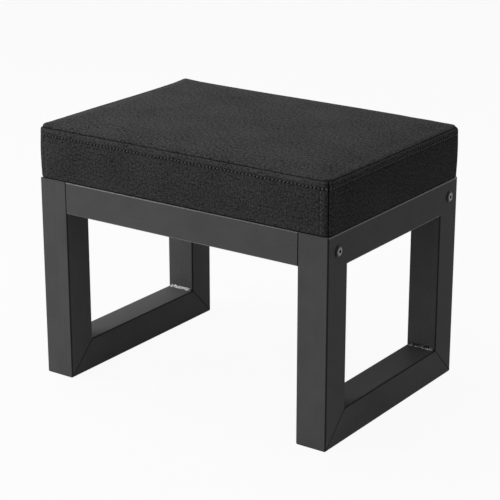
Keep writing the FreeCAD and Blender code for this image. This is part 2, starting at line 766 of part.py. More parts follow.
def build_nodes():
    """Builds every node of the stool and gives them in a list."""
    nodes = end_frame("left", -1) + end_frame("right", 1)
    nodes += [weld_beads("left", -1), weld_beads("right", 1)]
    for side, sign in (("front", -1), ("rear", 1)):
        nodes.append(rail(f"{side}_rail", sign))
        nodes.append(rail_end_plates(f"{side}_rail_end_plates", sign))
    nodes.append(at_frame_screws("frame_screws", frame_screw, "frame_length / 2"))
    nodes.append(at_frame_screws("screw_sleeves", screw_sleeve, "frame_length / 2 - tube_wall"))
    nodes.append(at_frame_screws("weld_nuts", weld_nut, f"{INNER_END} - end_plate_thickness"))
    nodes.append(seat_tabs("seat_tabs"))
    nodes.append(at_tab_holes("seat_screws", seat_screw, "frame_height - tab_thickness"))
    nodes.append(at_tab_holes("tee_nuts", tee_nut, f"frame_height + {BOARD_TOP} - tee_nut_length"))
    slots = staples("staple_slots", number("staple_clearance"))
    nodes.append(cut("seat_board", seat_board(), slots))
    nodes += [underside_cloth(), staples("cover_staples", 0), seat_foam(), seat_top_panel()]
    return nodes + side_bands(slots)


def write_nodes(nodes):
    """Stops if any object failed; otherwise writes one file for each node."""
    failed = [item.Label for item in DOC.Objects if {"Invalid", "Error"} & set(item.State)]
    failed += [node.Label for node in nodes if node.Shape.isNull() or not node.Shape.isValid()]
    if failed:
        raise RuntimeError("failed: " + ", ".join(failed))
    os.makedirs("parts", exist_ok=True)
    for node in nodes:
        node.Shape.exportStep(f"parts/{node.Label}.step")
        print(f"{node.Label}: {len(node.Shape.Solids)} solids, {node.Shape.Volume:.0f} mm3")


NODES = build_nodes()
DOC.recompute()
write_nodes(NODES)
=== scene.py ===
"""Looks of a low shoe fitting stool.

A boxed, upholstered seat stands on two closed end frames of square steel tube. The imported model
gives every piece its place and size. The tubes, rails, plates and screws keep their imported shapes
and get their finishes here. The cover, the foam and the weld beads are made again with the seams,
topstitching, puckers and ripples that sewing and welding leave. All lengths are in metres, and
sizes written in millimetres are multiplied by MM. Only the sizes of patterns are plain
millimetres, which per_metre() turns into texture scales.
"""

import logging
import math
from dataclasses import dataclass, field
from enum import Enum

import bpy
import numpy as np
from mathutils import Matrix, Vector, kdtree, noise


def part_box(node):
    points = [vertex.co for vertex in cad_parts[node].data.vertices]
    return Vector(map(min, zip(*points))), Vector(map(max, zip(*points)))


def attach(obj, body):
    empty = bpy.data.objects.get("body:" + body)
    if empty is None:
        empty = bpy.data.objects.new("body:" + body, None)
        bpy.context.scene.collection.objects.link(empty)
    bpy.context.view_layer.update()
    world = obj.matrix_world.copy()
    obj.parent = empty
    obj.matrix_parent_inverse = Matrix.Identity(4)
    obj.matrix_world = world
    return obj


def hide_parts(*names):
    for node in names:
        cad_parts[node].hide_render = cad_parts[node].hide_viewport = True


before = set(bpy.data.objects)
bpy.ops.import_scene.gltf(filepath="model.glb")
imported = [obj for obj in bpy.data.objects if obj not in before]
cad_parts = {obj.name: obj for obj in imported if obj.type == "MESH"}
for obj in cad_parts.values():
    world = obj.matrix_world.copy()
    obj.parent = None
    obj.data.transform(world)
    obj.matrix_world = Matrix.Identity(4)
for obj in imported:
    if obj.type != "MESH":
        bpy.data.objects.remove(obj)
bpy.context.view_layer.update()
BODY = "root"
MM = 0.001
UP = Vector((0, 0, 1))
LOG = logging.getLogger("fitting_stool")

Colour = tuple[float, float, float, float]
Point = tuple[float, float, float]
Span = tuple[float, float]
Values = dict[str | int | tuple, object]

FROM, TO = ("From Min", "From Max"), ("To Min", "To Max")
BUMP = ("Strength", "Distance")
COLOURS, MIXED = (6, 7), 2  # the two colours that a Mix node takes, and the one that it gives
OCCLUSION_SAMPLES = 8
NOISE_SPAN = (0.3, 0.7)  # most of a noise texture lies between these levels
WAVE_TURN = math.pi / 10  # a wave texture repeats every 2 pi / 20 of a unit at scale 1


def linear(code: str) -> Colour:
    """Turns an sRGB hex colour into linear values.

    Args:
        code: The colour as "#rrggbb".

    Returns:
        Red, green, blue and a full alpha.
    """
    shares = [int(code[place:place + 2], 16) / 255 for place in (1, 3, 5)]
    red, green, blue = (
        share / 12.92 if share <= 0.04045 else ((share + 0.055) / 1.055) ** 2.4 for share in shares
    )
    return red, green, blue, 1.0


def per_metre(size: float) -> float:
    """Returns the texture scale whose pattern repeats about every size, given in millimetres."""
    return 1 / (size * MM)


def feed(tree: bpy.types.NodeTree, node: bpy.types.Node, values: Values) -> None:
    """Sets and links what a node takes.

    Args:
        tree: The tree that the node is in.
        node: The node.
        values: Values, or the output sockets of other nodes, by the name of a property or by the name
            or number of an input. A tuple of names takes a tuple of values.
    """
    for name, value in values.items():
        if isinstance(name, tuple):
            feed(tree, node, dict(zip(name, value)))
        elif isinstance(value, bpy.types.NodeSocket):
            tree.links.new(value, node.inputs[name])
        elif isinstance(name, str) and hasattr(node, name):
            setattr(node, name, value)
        else:
            node.inputs[name].default_value = value


def add_node(
    tree: bpy.types.NodeTree, kind: str, values: Values | None = None, output: str | int = 0
) -> bpy.types.NodeSocket:
    """Adds one node with its settings and links.

    Args:
        tree: The tree that the node is added to.
        kind: The node's type, without the leading "ShaderNode".
        values: What it takes, as for feed().
        output: The name or number of the output that is wanted.

    Returns:
        The socket of that output.
    """
    node = tree.nodes.new("ShaderNode" + kind)
    feed(tree, node, values or {})
    return node.outputs[output]


def seen(tree: bpy.types.NodeTree) -> bpy.types.NodeSocket:
    """Tells what the camera sees from what only lights the stool.

    Args:
        tree: The tree that asks.

    Returns:
        1 for what is seen, straight or in metal or glass, and 0 for other light.
    """
    straight, mirrored, through = (
        add_node(tree, "LightPath", output=f"Is {ray} Ray") for ray in ("Camera", "Glossy", "Transmission")
    )
    either = add_node(tree, "Math", {"operation": "MAXIMUM", 0: straight, 1: mirrored})
    return add_node(tree, "Math", {"operation": "MAXIMUM", 0: either, 1: through})


class Finish:
    """A finish that pieces share. Each kind has its real material's name and says what feeds its shader."""

    known_as = "raw"

    def name(self) -> str:
        """Returns the name of the real material."""
        return self.known_as

    def look(self, tree: bpy.types.NodeTree) -> Values:
        """Returns what the shader takes, as for feed()."""
        raise NotImplementedError

    def material(self) -> bpy.types.Material:
        """Gives the finish's material, made the first time that it is asked for.

        Returns:
            The material.
        """
        made = bpy.data.materials.get(self.name())
        if made is None:
            made = bpy.data.materials.new(self.name())
            made.use_nodes = True
            tree = made.node_tree
            feed(tree, tree.nodes["Principled BSDF"], self.look(tree))
        return made

    def dress(self, piece: bpy.types.Object) -> None:
        """Gives the piece this finish alone.

        Args:
            piece: The piece.
        """
        if not piece.material_slots:
            piece.data.materials.append(self.material())
        for place in piece.material_slots:
            place.link = "OBJECT"
            place.material = self.material()


class Run(Enum):
    """The way a tube runs, which its drawing lines follow."""

    LENGTH = (1, 0, 0)
    DEPTH = (0, 1, 0)
    HEIGHT = (0, 0, 1)


@dataclass(frozen=True)
class PowderCoat(Finish):
    """Matt black powder coat, sprayed and baked on drawn steel tube.

    It gives an even, dull charcoal with a fine orange peel, a little grit and, under it, the faint
    lines that drawing left along the tube. Joints, mitres and other nooks are darkened where
    ambient occlusion finds them closed in, a painted shade. The coat draws slick over the rounded
    corners of the tubes under the seat, which catch the light; those of the legs and the bottom
    tubes are painted dark, a painted shade.
    """

    run: Run
    # Without slick edges, the rounded corners are painted dark instead: a painted shade.
    slick_edges: bool = True
    thin: str = "#5f5f5f"
    thick: str = "#535353"
    # the colour of the painted shade in joints, mitres and nooks, and on the legs' rounded corners
    painted_shade: str = "#161616"
    peel: float = 2.4
    peel_bump: Span = (0.3, 0.1 * MM)
    grit: float = 1.5  # the real grit is 0.1 mm; it is drawn this coarse so that it shows
    grit_bump: Span = (0.25, 0.06 * MM)
    cloud: float = 40
    line_gap: float = 2.2
    line_length: float = 160
    line_share: float = 0.4
    tone_span: Span = (0.85, 1.55)
    rough_span: Span = (0.56, 0.66)
    specular: float = 0.05
    shade_reach: float = 1.2 * MM
    shade_span: Span = (0.7, 0.97)  # the open shares at which the painted shade is full and at which it is gone
    groove_span: Span = (0.6, 0.85)  # the open shares between which a rounded corner starts to show
    turn_span: Span = (0.995, 0.93)  # a normal's largest part where a rounded corner starts and is full
    slick_rough: float = 0.3
    # how far the rounded corners without slick edges are painted dark, a painted shade
    edge_shade: float = 0.75

    def name(self) -> str:
        """Returns the name of the real material."""
        # Thin edges are rounded corners painted dark: a painted shade.
        edges = "slick" if self.slick_edges else "thin"
        return f"powder_coated_steel_{self.run.name.lower()}_{edges}_edges"

    def rounded(self, tree: bpy.types.NodeTree, open_share: bpy.types.NodeSocket) -> bpy.types.NodeSocket:
        """Finds the tube's rounded corners, where the surface leans away from all three directions.

        Args:
            tree: The material's tree.
            open_share: How open each place is.

        Returns:
            1 on the rounded corners and 0 on the flats and in grooves.
        """
        normal = add_node(tree, "TexCoord", output="Normal")
        sizes = add_node(tree, "VectorMath", {"operation": "ABSOLUTE", 0: normal})
        x, y, z = (add_node(tree, "SeparateXYZ", {0: sizes}, axis) for axis in "XYZ")
        larger = add_node(tree, "Math", {"operation": "MAXIMUM", 0: x, 1: y})
        largest = add_node(tree, "Math", {"operation": "MAXIMUM", 0: larger, 1: z})
        rounding = add_node(tree, "MapRange", {FROM: self.turn_span, "Value": largest})
        clear = add_node(tree, "MapRange", {FROM: self.groove_span, "Value": open_share})
        return add_node(tree, "Math", {"operation": "MULTIPLY", 0: rounding, 1: clear})

    def look(self, tree: bpy.types.NodeTree) -> Values:
        """Makes the peel, grit, cloud, drawing lines and corners, and the painted shade in nooks.

        Args:
            tree: The material's tree.

        Returns:
            What the shader takes.
        """
        place = add_node(tree, "TexCoord", output="Object")
        stretch = tuple(per_metre(self.line_length if along else self.line_gap) for along in self.run.value)
        lined = add_node(tree, "Mapping", {"Scale": stretch, "Vector": place})
        lines = add_node(tree, "TexNoise", {"Scale": 1.0, "Detail": 2.0, "Vector": lined})
        cloud, grit, peel = (
            add_node(tree, "TexNoise", {"Scale": per_metre(size), "Detail": detail, "Vector": place})
            for size, detail in ((self.cloud, 3.0), (self.grit, 2.0), (self.peel, 1.0))
        )
        two = add_node(tree, "Math", {"operation": "MULTIPLY_ADD", 0: lines, 1: self.line_share, 2: cloud})
        three = add_node(tree, "Math", {"operation": "ADD", 0: two, 1: grit})
        tone = add_node(tree, "MapRange", {FROM: self.tone_span, "Value": three})
        flat = {"data_type": "RGBA", 0: tone, COLOURS: (linear(self.thick), linear(self.thin))}
        # Ambient occlusion darkens joints, mitres and nooks towards the painted shade colour: a painted
        # shade.
        share = {"samples": OCCLUSION_SAMPLES, "Distance": self.shade_reach}
        open_share = add_node(tree, "AmbientOcclusion", share, "AO")
        unshaded = add_node(tree, "MapRange", {FROM: self.shade_span, "Value": open_share})
        shown = add_node(tree, "Mix", flat, MIXED)
        coated = {"data_type": "RGBA", 0: unshaded, COLOURS: (linear(self.painted_shade), shown)}
        shown = add_node(tree, "Mix", coated, MIXED)
        rounded = self.rounded(tree, open_share)
        gleam = {}
        if self.slick_edges:
            gleam = {"Coat Weight": rounded, "Coat Roughness": self.slick_rough}
        else:
            # The rounded corners of the legs and bottom tubes are painted dark: a painted shade.
            edge_shade_share = add_node(tree, "Math", {"operation": "MULTIPLY", 0: rounded, 1: self.edge_shade})
            dark = {"data_type": "RGBA", 0: edge_shade_share, COLOURS: (shown, linear(self.painted_shade))}
            shown = add_node(tree, "Mix", dark, MIXED)
        rough = add_node(tree, "MapRange", {FROM: NOISE_SPAN, TO: self.rough_span, "Value": cloud})
        peeled = add_node(tree, "Bump", {BUMP: self.peel_bump, "Height": peel})
        gritty = add_node(tree, "Bump", {BUMP: self.grit_bump, "Height": grit, "Normal": peeled})
        shine = {"Specular IOR Level": self.specular, "Roughness": rough}
        return {"Base Color": shown, "Normal": gritty, **shine, **gleam}


@dataclass(frozen=True)
class WeldMetal(Finish):
    """Steel weld metal that the coat covers thinly and leaves half bare on its crests.

    It gives a lumpy, bright grey that catches the light next to the dull tube.
    """

    coated: str = "#5a5a5a"
    bare: str = "#d2d2d2"
    patch: float = 3.0
    bare_from: float = 0.4  # the noise's level from which the metal starts to be bare
    bare_rise: float = 0.2  # and how much higher it is all bare
    scale_grain: float = 0.9
    grain_bump: Span = (0.5, 0.15 * MM)
    rough_span: Span = (0.16, 0.3)
    specular: float = 0.6

    def name(self) -> str:
        """Returns the name of the real material."""
        return f"half_coated_weld_metal_{round(100 * self.bare_from)}"

    def look(self, tree: bpy.types.NodeTree) -> Values:
        """Makes the bare patches and the fine scale.

        Args:
            tree: The material's tree.

        Returns:
            What the shader takes.
        """
        place = add_node(tree, "TexCoord", output="Object")
        patch, fine = (
            add_node(tree, "TexNoise", {"Scale": per_metre(size), "Detail": 3.0, "Vector": place})
            for size in (self.patch, self.scale_grain)
        )
        bare_span = (self.bare_from, self.bare_from + self.bare_rise)
        bared = add_node(tree, "MapRange", {FROM: bare_span, "Value": patch})
        colour = {"data_type": "RGBA", 0: bared, COLOURS: (linear(self.coated), linear(self.bare))}
        return {
            "Base Color": add_node(tree, "Mix", colour, MIXED),
            "Specular IOR Level": self.specular,
            "Roughness": add_node(tree, "MapRange", {FROM: NOISE_SPAN, TO: self.rough_span, "Value": fine}),
            "Normal": add_node(tree, "Bump", {BUMP: self.grain_bump, "Height": fine}),
        }


@dataclass(frozen=True)
class BlackOxide(Finish):
    """Black oxide on machined steel screws, with painted light on the faces of their heads.

    It gives a near black metal with fine tool marks, and a lighter, softly gleaming face that is
    painted light: lighter where the head faces along the screw, in blotches, while the rounded rim
    and the socket keep the oxide's black.
    """

    run: Run
    oxide: str = "#0a0a0a"
    painted_lit_face: str = "#8c8c8c"
    blotch: float = 1.6
    blotch_span: Span = (0.3, 0.6)
    least_face_light: float = 0.4
    mark: float = 0.8  # real tool marks are 0.1 mm apart; they are drawn this coarse so that they show
    mark_bump: Span = (0.3, 0.05 * MM)
    face_span: Span = (0.88, 0.95)  # how straight a face looks along the screw, from round to flat
    socket_reach: float = 3 * MM
    socket_span: Span = (0.6, 0.95)
    metal: float = 0.7
    rough: float = 0.4

    def name(self) -> str:
        """Returns the name of the real material."""
        return f"black_oxide_steel_{self.run.name.lower()}"

    def look(self, tree: bpy.types.NodeTree) -> Values:
        """Makes the painted light on the heads' faces, the blotches and the tool marks.

        Args:
            tree: The material's tree.

        Returns:
            What the shader takes.
        """
        place, normal = (add_node(tree, "TexCoord", output=kind) for kind in ("Object", "Normal"))
        blotch = add_node(tree, "TexNoise", {"Scale": per_metre(self.blotch), "Detail": 3.0, "Vector": place})
        marks = add_node(tree, "TexNoise", {"Scale": per_metre(self.mark), "Detail": 2.0, "Vector": place})
        # The face along the screw, outside the socket, is painted lighter than the rounded rim: a painted
        # light.
        along = {"operation": "DOT_PRODUCT", 0: normal, 1: self.run.value}
        facing = add_node(tree, "VectorMath", along, "Value")
        size = add_node(tree, "Math", {"operation": "ABSOLUTE", 0: facing})
        face = add_node(tree, "MapRange", {FROM: self.face_span, "Value": size})
        share = {"samples": OCCLUSION_SAMPLES, "Distance": self.socket_reach}
        open_share = add_node(tree, "AmbientOcclusion", share, "AO")
        outside = add_node(tree, "MapRange", {FROM: self.socket_span, "Value": open_share})
        bare = add_node(tree, "Math", {"operation": "MULTIPLY", 0: face, 1: outside})
        blotched = add_node(
            tree, "MapRange", {FROM: self.blotch_span, "To Min": self.least_face_light, "Value": blotch}
        )
        painted_face_light = add_node(tree, "Math", {"operation": "MULTIPLY", 0: bare, 1: blotched})
        colour = {"data_type": "RGBA", 0: painted_face_light, COLOURS: (linear(self.oxide), linear(self.painted_lit_face))}
        return {
            "Base Color": add_node(tree, "Mix", colour, MIXED),
            "Metallic": self.metal,
            "Roughness": self.rough,
            "Normal": add_node(tree, "Bump", {BUMP: self.mark_bump, "Height": marks}),
        }


@dataclass(frozen=True)
class ZincPlate(Finish):
    """Bright zinc plating on pressed and turned steel.

    It gives a pale, slightly blue metal with soft spangle and a few duller patches.
    """

    known_as = "zinc_plated_steel"
    bright: str = "#c6c9cd"
    dull: str = "#a3a6ab"
    spangle: float = 1.6
    patch: float = 6.4
    patch_bump: Span = (0.15, 0.03 * MM)
    spangle_span: Span = (0.0, 0.8)
    rough_span: Span = (0.28, 0.42)

    def look(self, tree: bpy.types.NodeTree) -> Values:
        """Makes the spangle and the dull patches.

        Args:
            tree: The material's tree.

        Returns:
            What the shader takes.
        """
        place = add_node(tree, "TexCoord", output="Object")
        spangle = add_node(tree, "TexVoronoi", {"Scale": per_metre(self.spangle), "Vector": place})
        patch = add_node(tree, "TexNoise", {"Scale": per_metre(self.patch), "Detail": 3.0, "Vector": place})
        colour = {"data_type": "RGBA", 0: patch, COLOURS: (linear(self.dull), linear(self.bright))}
        rough = {FROM: self.spangle_span, TO: self.rough_span, "Value": spangle}
        return {
            "Base Color": add_node(tree, "Mix", colour, MIXED),
            "Metallic": 1.0,
            "Roughness": add_node(tree, "MapRange", rough),
            "Normal": add_node(tree, "Bump", {BUMP: self.patch_bump, "Height": patch}),
        }


@dataclass(frozen=True)
class BirchPlywood(Finish):
    """Birch plywood, rotary cut and pressed, left raw.

    It gives a warm, pale face with long grain, and an edge of light and dark plies.
    """

    known_as = "birch_plywood"
    pale: str = "#d9bd92"
    dark: str = "#b08a5a"
    ply: float = 2.8
    ply_share: float = 0.35
    grain_gap: float = 1.8
    grain_length: float = 60
    grain_bump: Span = (0.3, 0.1 * MM)
    tone_span: Span = (0.3, 1.05)
    rough: float = 0.72

    def look(self, tree: bpy.types.NodeTree) -> Values:
        """Makes the grain along the length and the plies up the edge.

        Args:
            tree: The material's tree.

        Returns:
            What the shader takes.
        """
        place = add_node(tree, "TexCoord", output="Object")
        stretch = (per_metre(self.grain_length), per_metre(self.grain_gap), per_metre(self.grain_gap))
        long = add_node(tree, "Mapping", {"Scale": stretch, "Vector": place})
        grain = add_node(tree, "TexNoise", {"Scale": 1.0, "Detail": 5.0, "Distortion": 0.4, "Vector": long})
        bands = {"bands_direction": "Z", "Scale": per_metre(self.ply) * WAVE_TURN, "Vector": place}
        plies = add_node(tree, "TexWave", bands, "Fac")
        both = add_node(tree, "Math", {"operation": "MULTIPLY_ADD", 0: plies, 1: self.ply_share, 2: grain})
        tone = add_node(tree, "MapRange", {FROM: self.tone_span, "Value": both})
        colour = {"data_type": "RGBA", 0: tone, COLOURS: (linear(self.pale), linear(self.dark))}
        return {
            "Base Color": add_node(tree, "Mix", colour, MIXED),
            "Roughness": self.rough,
            "Normal": add_node(tree, "Bump", {BUMP: self.grain_bump, "Height": grain}),
        }


@dataclass(frozen=True)
class SpunbondCloth(Finish):
    """Thin black spunbond polypropylene cloth, point bonded by a heated roller.

    It gives a dull black sheet with rows of small pressed dots and loose, cloudy fibres.
    """

    known_as = "spunbond_cloth"
    fibre: str = "#232325"
    pressed: str = "#161617"
    dot_gap: float = 2.4
    dot_turn: float = math.radians(45)
    dot_span: Span = (0.15, 0.32)
    cloud: float = 14
    fibre_bump: Span = (0.6, 0.12 * MM)
    rough: float = 0.85

    def look(self, tree: bpy.types.NodeTree) -> Values:
        """Makes the pressed dots and the cloudy fibres.

        Args:
            tree: The material's tree.

        Returns:
            What the shader takes.
        """
        place = add_node(tree, "TexCoord", output="Object")
        turned = add_node(tree, "Mapping", {"Rotation": (0, 0, self.dot_turn), "Vector": place})
        grid = {"voronoi_dimensions": "2D", "Scale": per_metre(self.dot_gap), "Randomness": 0.0}
        dots = add_node(tree, "TexVoronoi", {**grid, "Vector": turned})
        cloud = add_node(tree, "TexNoise", {"Scale": per_metre(self.cloud), "Detail": 8.0, "Vector": place})
        raised = add_node(tree, "MapRange", {FROM: self.dot_span, "Value": dots})
        tone = add_node(tree, "Math", {"operation": "MULTIPLY", 0: raised, 1: cloud})
        colour = {"data_type": "RGBA", 0: tone, COLOURS: (linear(self.pressed), linear(self.fibre))}
        return {
            "Base Color": add_node(tree, "Mix", colour, MIXED),
            "Roughness": self.rough,
            "Normal": add_node(tree, "Bump", {BUMP: self.fibre_bump, "Height": tone}),
        }


@dataclass(frozen=True)
class CutFoam(Finish):
    """Open-cell polyurethane foam, cut from a block with a band knife.

    It gives a pale cream with small open cells and a slight yellowing.
    """

    known_as = "cut_polyurethane_foam"
    pale: str = "#ddd6c4"
    aged: str = "#c9bd9f"
    cell: float = 1.2
    cell_bump: Span = (0.6, 0.3 * MM)
    yellowing: float = 48
    rough: float = 0.95

    def look(self, tree: bpy.types.NodeTree) -> Values:
        """Makes the cells and the yellowing.

        Args:
            tree: The material's tree.

        Returns:
            What the shader takes.
        """
        place = add_node(tree, "TexCoord", output="Object")
        cells = add_node(tree, "TexVoronoi", {"Scale": per_metre(self.cell), "Vector": place})
        stains = {"Scale": per_metre(self.yellowing), "Detail": 3.0, "Vector": place}
        aged = add_node(tree, "TexNoise", stains)
        colour = {"data_type": "RGBA", 0: aged, COLOURS: (linear(self.pale), linear(self.aged))}
        return {
            "Base Color": add_node(tree, "Mix", colour, MIXED),
            "Roughness": self.rough,
            "Normal": add_node(tree, "Bump", {BUMP: self.cell_bump, "Height": cells}),
        }


@dataclass(frozen=True)
class BrushedUpholstery(Finish):
    """Black woven upholstery cloth, brushed to a short nap.

    It gives a soft charcoal with fine pale flecks of fibre, a hint of the weave, clouds where the nap
    lies one way or the other, and a light bloom where it is seen at a slant. Its seams and needle
    holes are darkened where ambient occlusion finds them closed in, a painted shade.
    """

    known_as = "brushed_upholstery_cloth"
    deep: str = "#0c0c0c"
    lit: str = "#555555"
    bloom: str = "#6a6a6a"
    yarn: float = 2.3  # the real yarns are 0.5 mm apart; they are drawn this coarse so that they show
    yarn_share: float = 0.05
    yarn_bend: float = 1.5
    fleck: float = 2.7  # the real flecks are single fibres, drawn wider for the same reason
    cloud: float = 45
    cloud_share: float = 0.14
    tone_span: Span = (0.38, 0.81)
    seam_shade_reach: float = 2 * MM
    seam_shade_span: Span = (0.35, 0.8)
    painted_seam_shade: float = 0.1
    nap_bump: Span = (0.06, 0.3 * MM)
    rough: float = 0.95
    specular: float = 0.05
    sheen: float = 0.04
    sheen_rough: float = 0.5

    def look(self, tree: bpy.types.NodeTree) -> Values:
        """Makes the flecks, the weave, the nap and the painted shade in seams and needle holes.

        Args:
            tree: The material's tree.

        Returns:
            What the shader takes.
        """
        place, laid = (add_node(tree, "TexCoord", output=kind) for kind in ("Object", "UV"))
        fine = {"Scale": per_metre(self.fleck), "Detail": 2.0, "Roughness": 1.0, "Vector": laid}
        fleck = add_node(tree, "TexNoise", fine)
        cloud = add_node(tree, "TexNoise", {"Scale": per_metre(self.cloud), "Detail": 2.0, "Vector": place})
        wave = {"Scale": per_metre(self.yarn) * WAVE_TURN, "Distortion": self.yarn_bend}
        warp, weft = (
            add_node(tree, "TexWave", {"bands_direction": way, **wave, "Vector": laid}, "Fac") for way in "XY"
        )
        weave = add_node(tree, "Math", {"operation": "MULTIPLY", 0: warp, 1: weft})
        woven = fleck
        for pattern, part in ((cloud, self.cloud_share), (weave, self.yarn_share)):
            woven = add_node(tree, "Math", {"operation": "MULTIPLY_ADD", 0: pattern, 1: part, 2: woven})
        # Ambient occlusion darkens the seams and needle holes: a painted shade.
        share = {"samples": OCCLUSION_SAMPLES, "Distance": self.seam_shade_reach}
        open_share = add_node(tree, "AmbientOcclusion", share, "AO")
        seam = {FROM: self.seam_shade_span, "To Min": self.painted_seam_shade, "Value": open_share}
        lit = add_node(tree, "MapRange", seam)
        shown = add_node(tree, "MapRange", {FROM: self.tone_span, "Value": woven})
        tone = add_node(tree, "Math", {"operation": "MULTIPLY", 0: shown, 1: lit})
        colour = {"data_type": "RGBA", 0: tone, COLOURS: (linear(self.deep), linear(self.lit))}
        return {
            "Base Color": add_node(tree, "Mix", colour, MIXED),
            "Roughness": self.rough,
            "Specular IOR Level": self.specular,
            "Sheen Weight": self.sheen,
            "Sheen Roughness": self.sheen_rough,
            "Sheen Tint": linear(self.bloom),
            "Normal": add_node(tree, "Bump", {BUMP: self.nap_bump, "Height": woven}),
        }


@dataclass(frozen=True)
class BondedThread(Finish):
    """Bonded polyester sewing thread, three plies twisted together.

    It gives a slightly glossy dark grey that stands out from the dull cloth round it.
    """

    known_as = "bonded_polyester_thread"
    dark: str = "#4e4e4e"
    light: str = "#808080"
    twist: float = 1.0  # the real twist repeats every 0.4 mm; it is drawn this coarse so that it shows
    twist_bump: Span = (0.4, 0.1 * MM)
    rough: float = 0.5

    def look(self, tree: bpy.types.NodeTree) -> Values:
        """Makes the twist of the plies.

        Args:
            tree: The material's tree.

        Returns:
            What the shader takes.
        """
        place = add_node(tree, "TexCoord", output="Object")
        bands = {"bands_direction": "DIAGONAL", "Scale": per_metre(self.twist) * WAVE_TURN, "Vector": place}
        twist = add_node(tree, "TexWave", bands, "Fac")
        colour = {"data_type": "RGBA", 0: twist, COLOURS: (linear(self.dark), linear(self.light))}
        return {
            "Base Color": add_node(tree, "Mix", colour, MIXED),
            "Roughness": self.rough,
            "Normal": add_node(tree, "Bump", {BUMP: self.twist_bump, "Height": twist}),
        }


@dataclass(frozen=True)
class RolledPaint(Finish):
    """Pale grey wall paint, rolled on the studio's floor.

    It gives a dull, nearly even grey that takes the stool's shadow. Where it is seen, it is shown near
    white, and keeps a share of its own look for the shadow.
    """

    known_as = "painted_studio_floor"
    dark: str = "#cacaca"
    light: str = "#d2d2d2"
    roller: float = 30
    rough: float = 0.9
    specular: float = 0.1
    white_share: float = 0.94

    def look(self, tree: bpy.types.NodeTree) -> Values:
        """Makes the paint, and the white that it is shown as.

        Args:
            tree: The material's tree.

        Returns:
            What the shader takes.
        """
        place = add_node(tree, "TexCoord", output="Object")
        roller = add_node(tree, "TexNoise", {"Scale": per_metre(self.roller), "Detail": 4.0, "Vector": place})
        colour = {"data_type": "RGBA", 0: roller, COLOURS: (linear(self.dark), linear(self.light))}
        glow = add_node(tree, "Emission", {"Color": linear("#ffffff"), "Strength": 1.0})
        white = add_node(tree, "Math", {"operation": "MULTIPLY", 0: seen(tree), 1: self.white_share})
        paint = tree.nodes["Principled BSDF"].outputs["BSDF"]
        both = add_node(tree, "MixShader", {0: white, 1: paint, 2: glow})
        feed(tree, tree.nodes["Material Output"], {"Surface": both})
        return {
            "Base Color": add_node(tree, "Mix", colour, MIXED),
            "Roughness": self.rough,
            "Specular IOR Level": self.specular,
        }


@dataclass
class Sheet:
    """Points and faces of one mesh while it is being made."""

    points: list[Vector] = field(default_factory=list)
    faces: list[tuple[int, ...]] = field(default_factory=list)
    laid: list[tuple[float, float]] = field(default_factory=list)

    def add(self, point: Vector, laid: tuple[float, float] = (0.0, 0.0)) -> int:
        """Adds a point.

        Args:
            point: The point.
            laid: Its place on the flat cloth.

        Returns:
            Its number.
        """
        self.points.append(point)
        self.laid.append(laid)
        return len(self.points) - 1

    def join(self, rows: list[list[int]], closed: bool = False) -> None:
        """Adds the faces between neighbouring rows of points.

        Args:
            rows: The numbers of the points, row by row, all of the same length.
            closed: Whether each row's last point is joined to its first.
        """
        for low, high in zip(rows, rows[1:]):
            count = len(low)
            for place in range(count if closed else count - 1):
                after = (place + 1) % count
                self.faces.append((low[place], low[after], high[after], high[place]))

    def piece(self, name: str) -> bpy.types.Object:
        """Makes the object, smooth shaded, with the cloth's own lengths as its UV map.

        Args:
            name: The piece's name.

        Returns:
            The new object, linked to the scene.
        """
        mesh = bpy.data.meshes.new(name)
        mesh.from_pydata([tuple(point) for point in self.points], [], self.faces)
        mesh.update()
        layer = mesh.uv_layers.new(name="laid_flat")
        corners = np.zeros(len(mesh.loops), dtype=np.int32)
        mesh.loops.foreach_get("vertex_index", corners)
        layer.data.foreach_set("uv", np.asarray(self.laid, dtype=np.float32)[corners].ravel())
        mesh.polygons.foreach_set("use_smooth", np.ones(len(mesh.polygons), dtype=bool))
        made = bpy.data.objects.new(name, mesh)
        bpy.context.scene.collection.objects.link(made)
        return made


def finish_piece(piece: bpy.types.Object, finish: Finish, slot: str, *nodes: str) -> None:
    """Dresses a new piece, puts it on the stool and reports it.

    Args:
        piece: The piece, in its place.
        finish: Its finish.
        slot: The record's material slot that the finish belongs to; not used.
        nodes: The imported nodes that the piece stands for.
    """
    finish.dress(piece)
    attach(piece, BODY)
    if nodes:
        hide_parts(*nodes)
    LOG.info("%s: %d faces, %s", piece.name, len(piece.data.polygons), finish.name())


def dress_packed(finishes: dict[str, Finish]) -> None:
    """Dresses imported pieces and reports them.

    Args:
        finishes: The finish of each piece, by the piece's name.
    """
    for name, finish in finishes.items():
        finish.dress(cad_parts[name])
        LOG.info("%s: %s", name, finish.name())


def even(start: float, end: float, step: float, count: int = 0) -> list[float]:
    """Returns values from start to end, in a given count of even steps or spaced by about step."""
    count = count or max(1, round(abs(end - start) / step))
    return [start + (end - start) * place / count for place in range(count + 1)]


def bell(distance: float, width: float) -> float:
    """Returns 1 at distance 0, falling smoothly to nothing a few widths away."""
    return math.exp(-((distance / width) ** 2))


def clamped(value: float) -> float:
    """Returns the value, or the nearer of 0 and 1 where it lies outside them."""
    return min(1.0, max(0.0, value))


def ripple(x: float, y: float, z: float, length: float) -> float:
    """Returns a smooth, repeatable unevenness from -1 to 1, by place or layer, about length long."""
    return noise.noise(Vector((x, y, z)) / length)


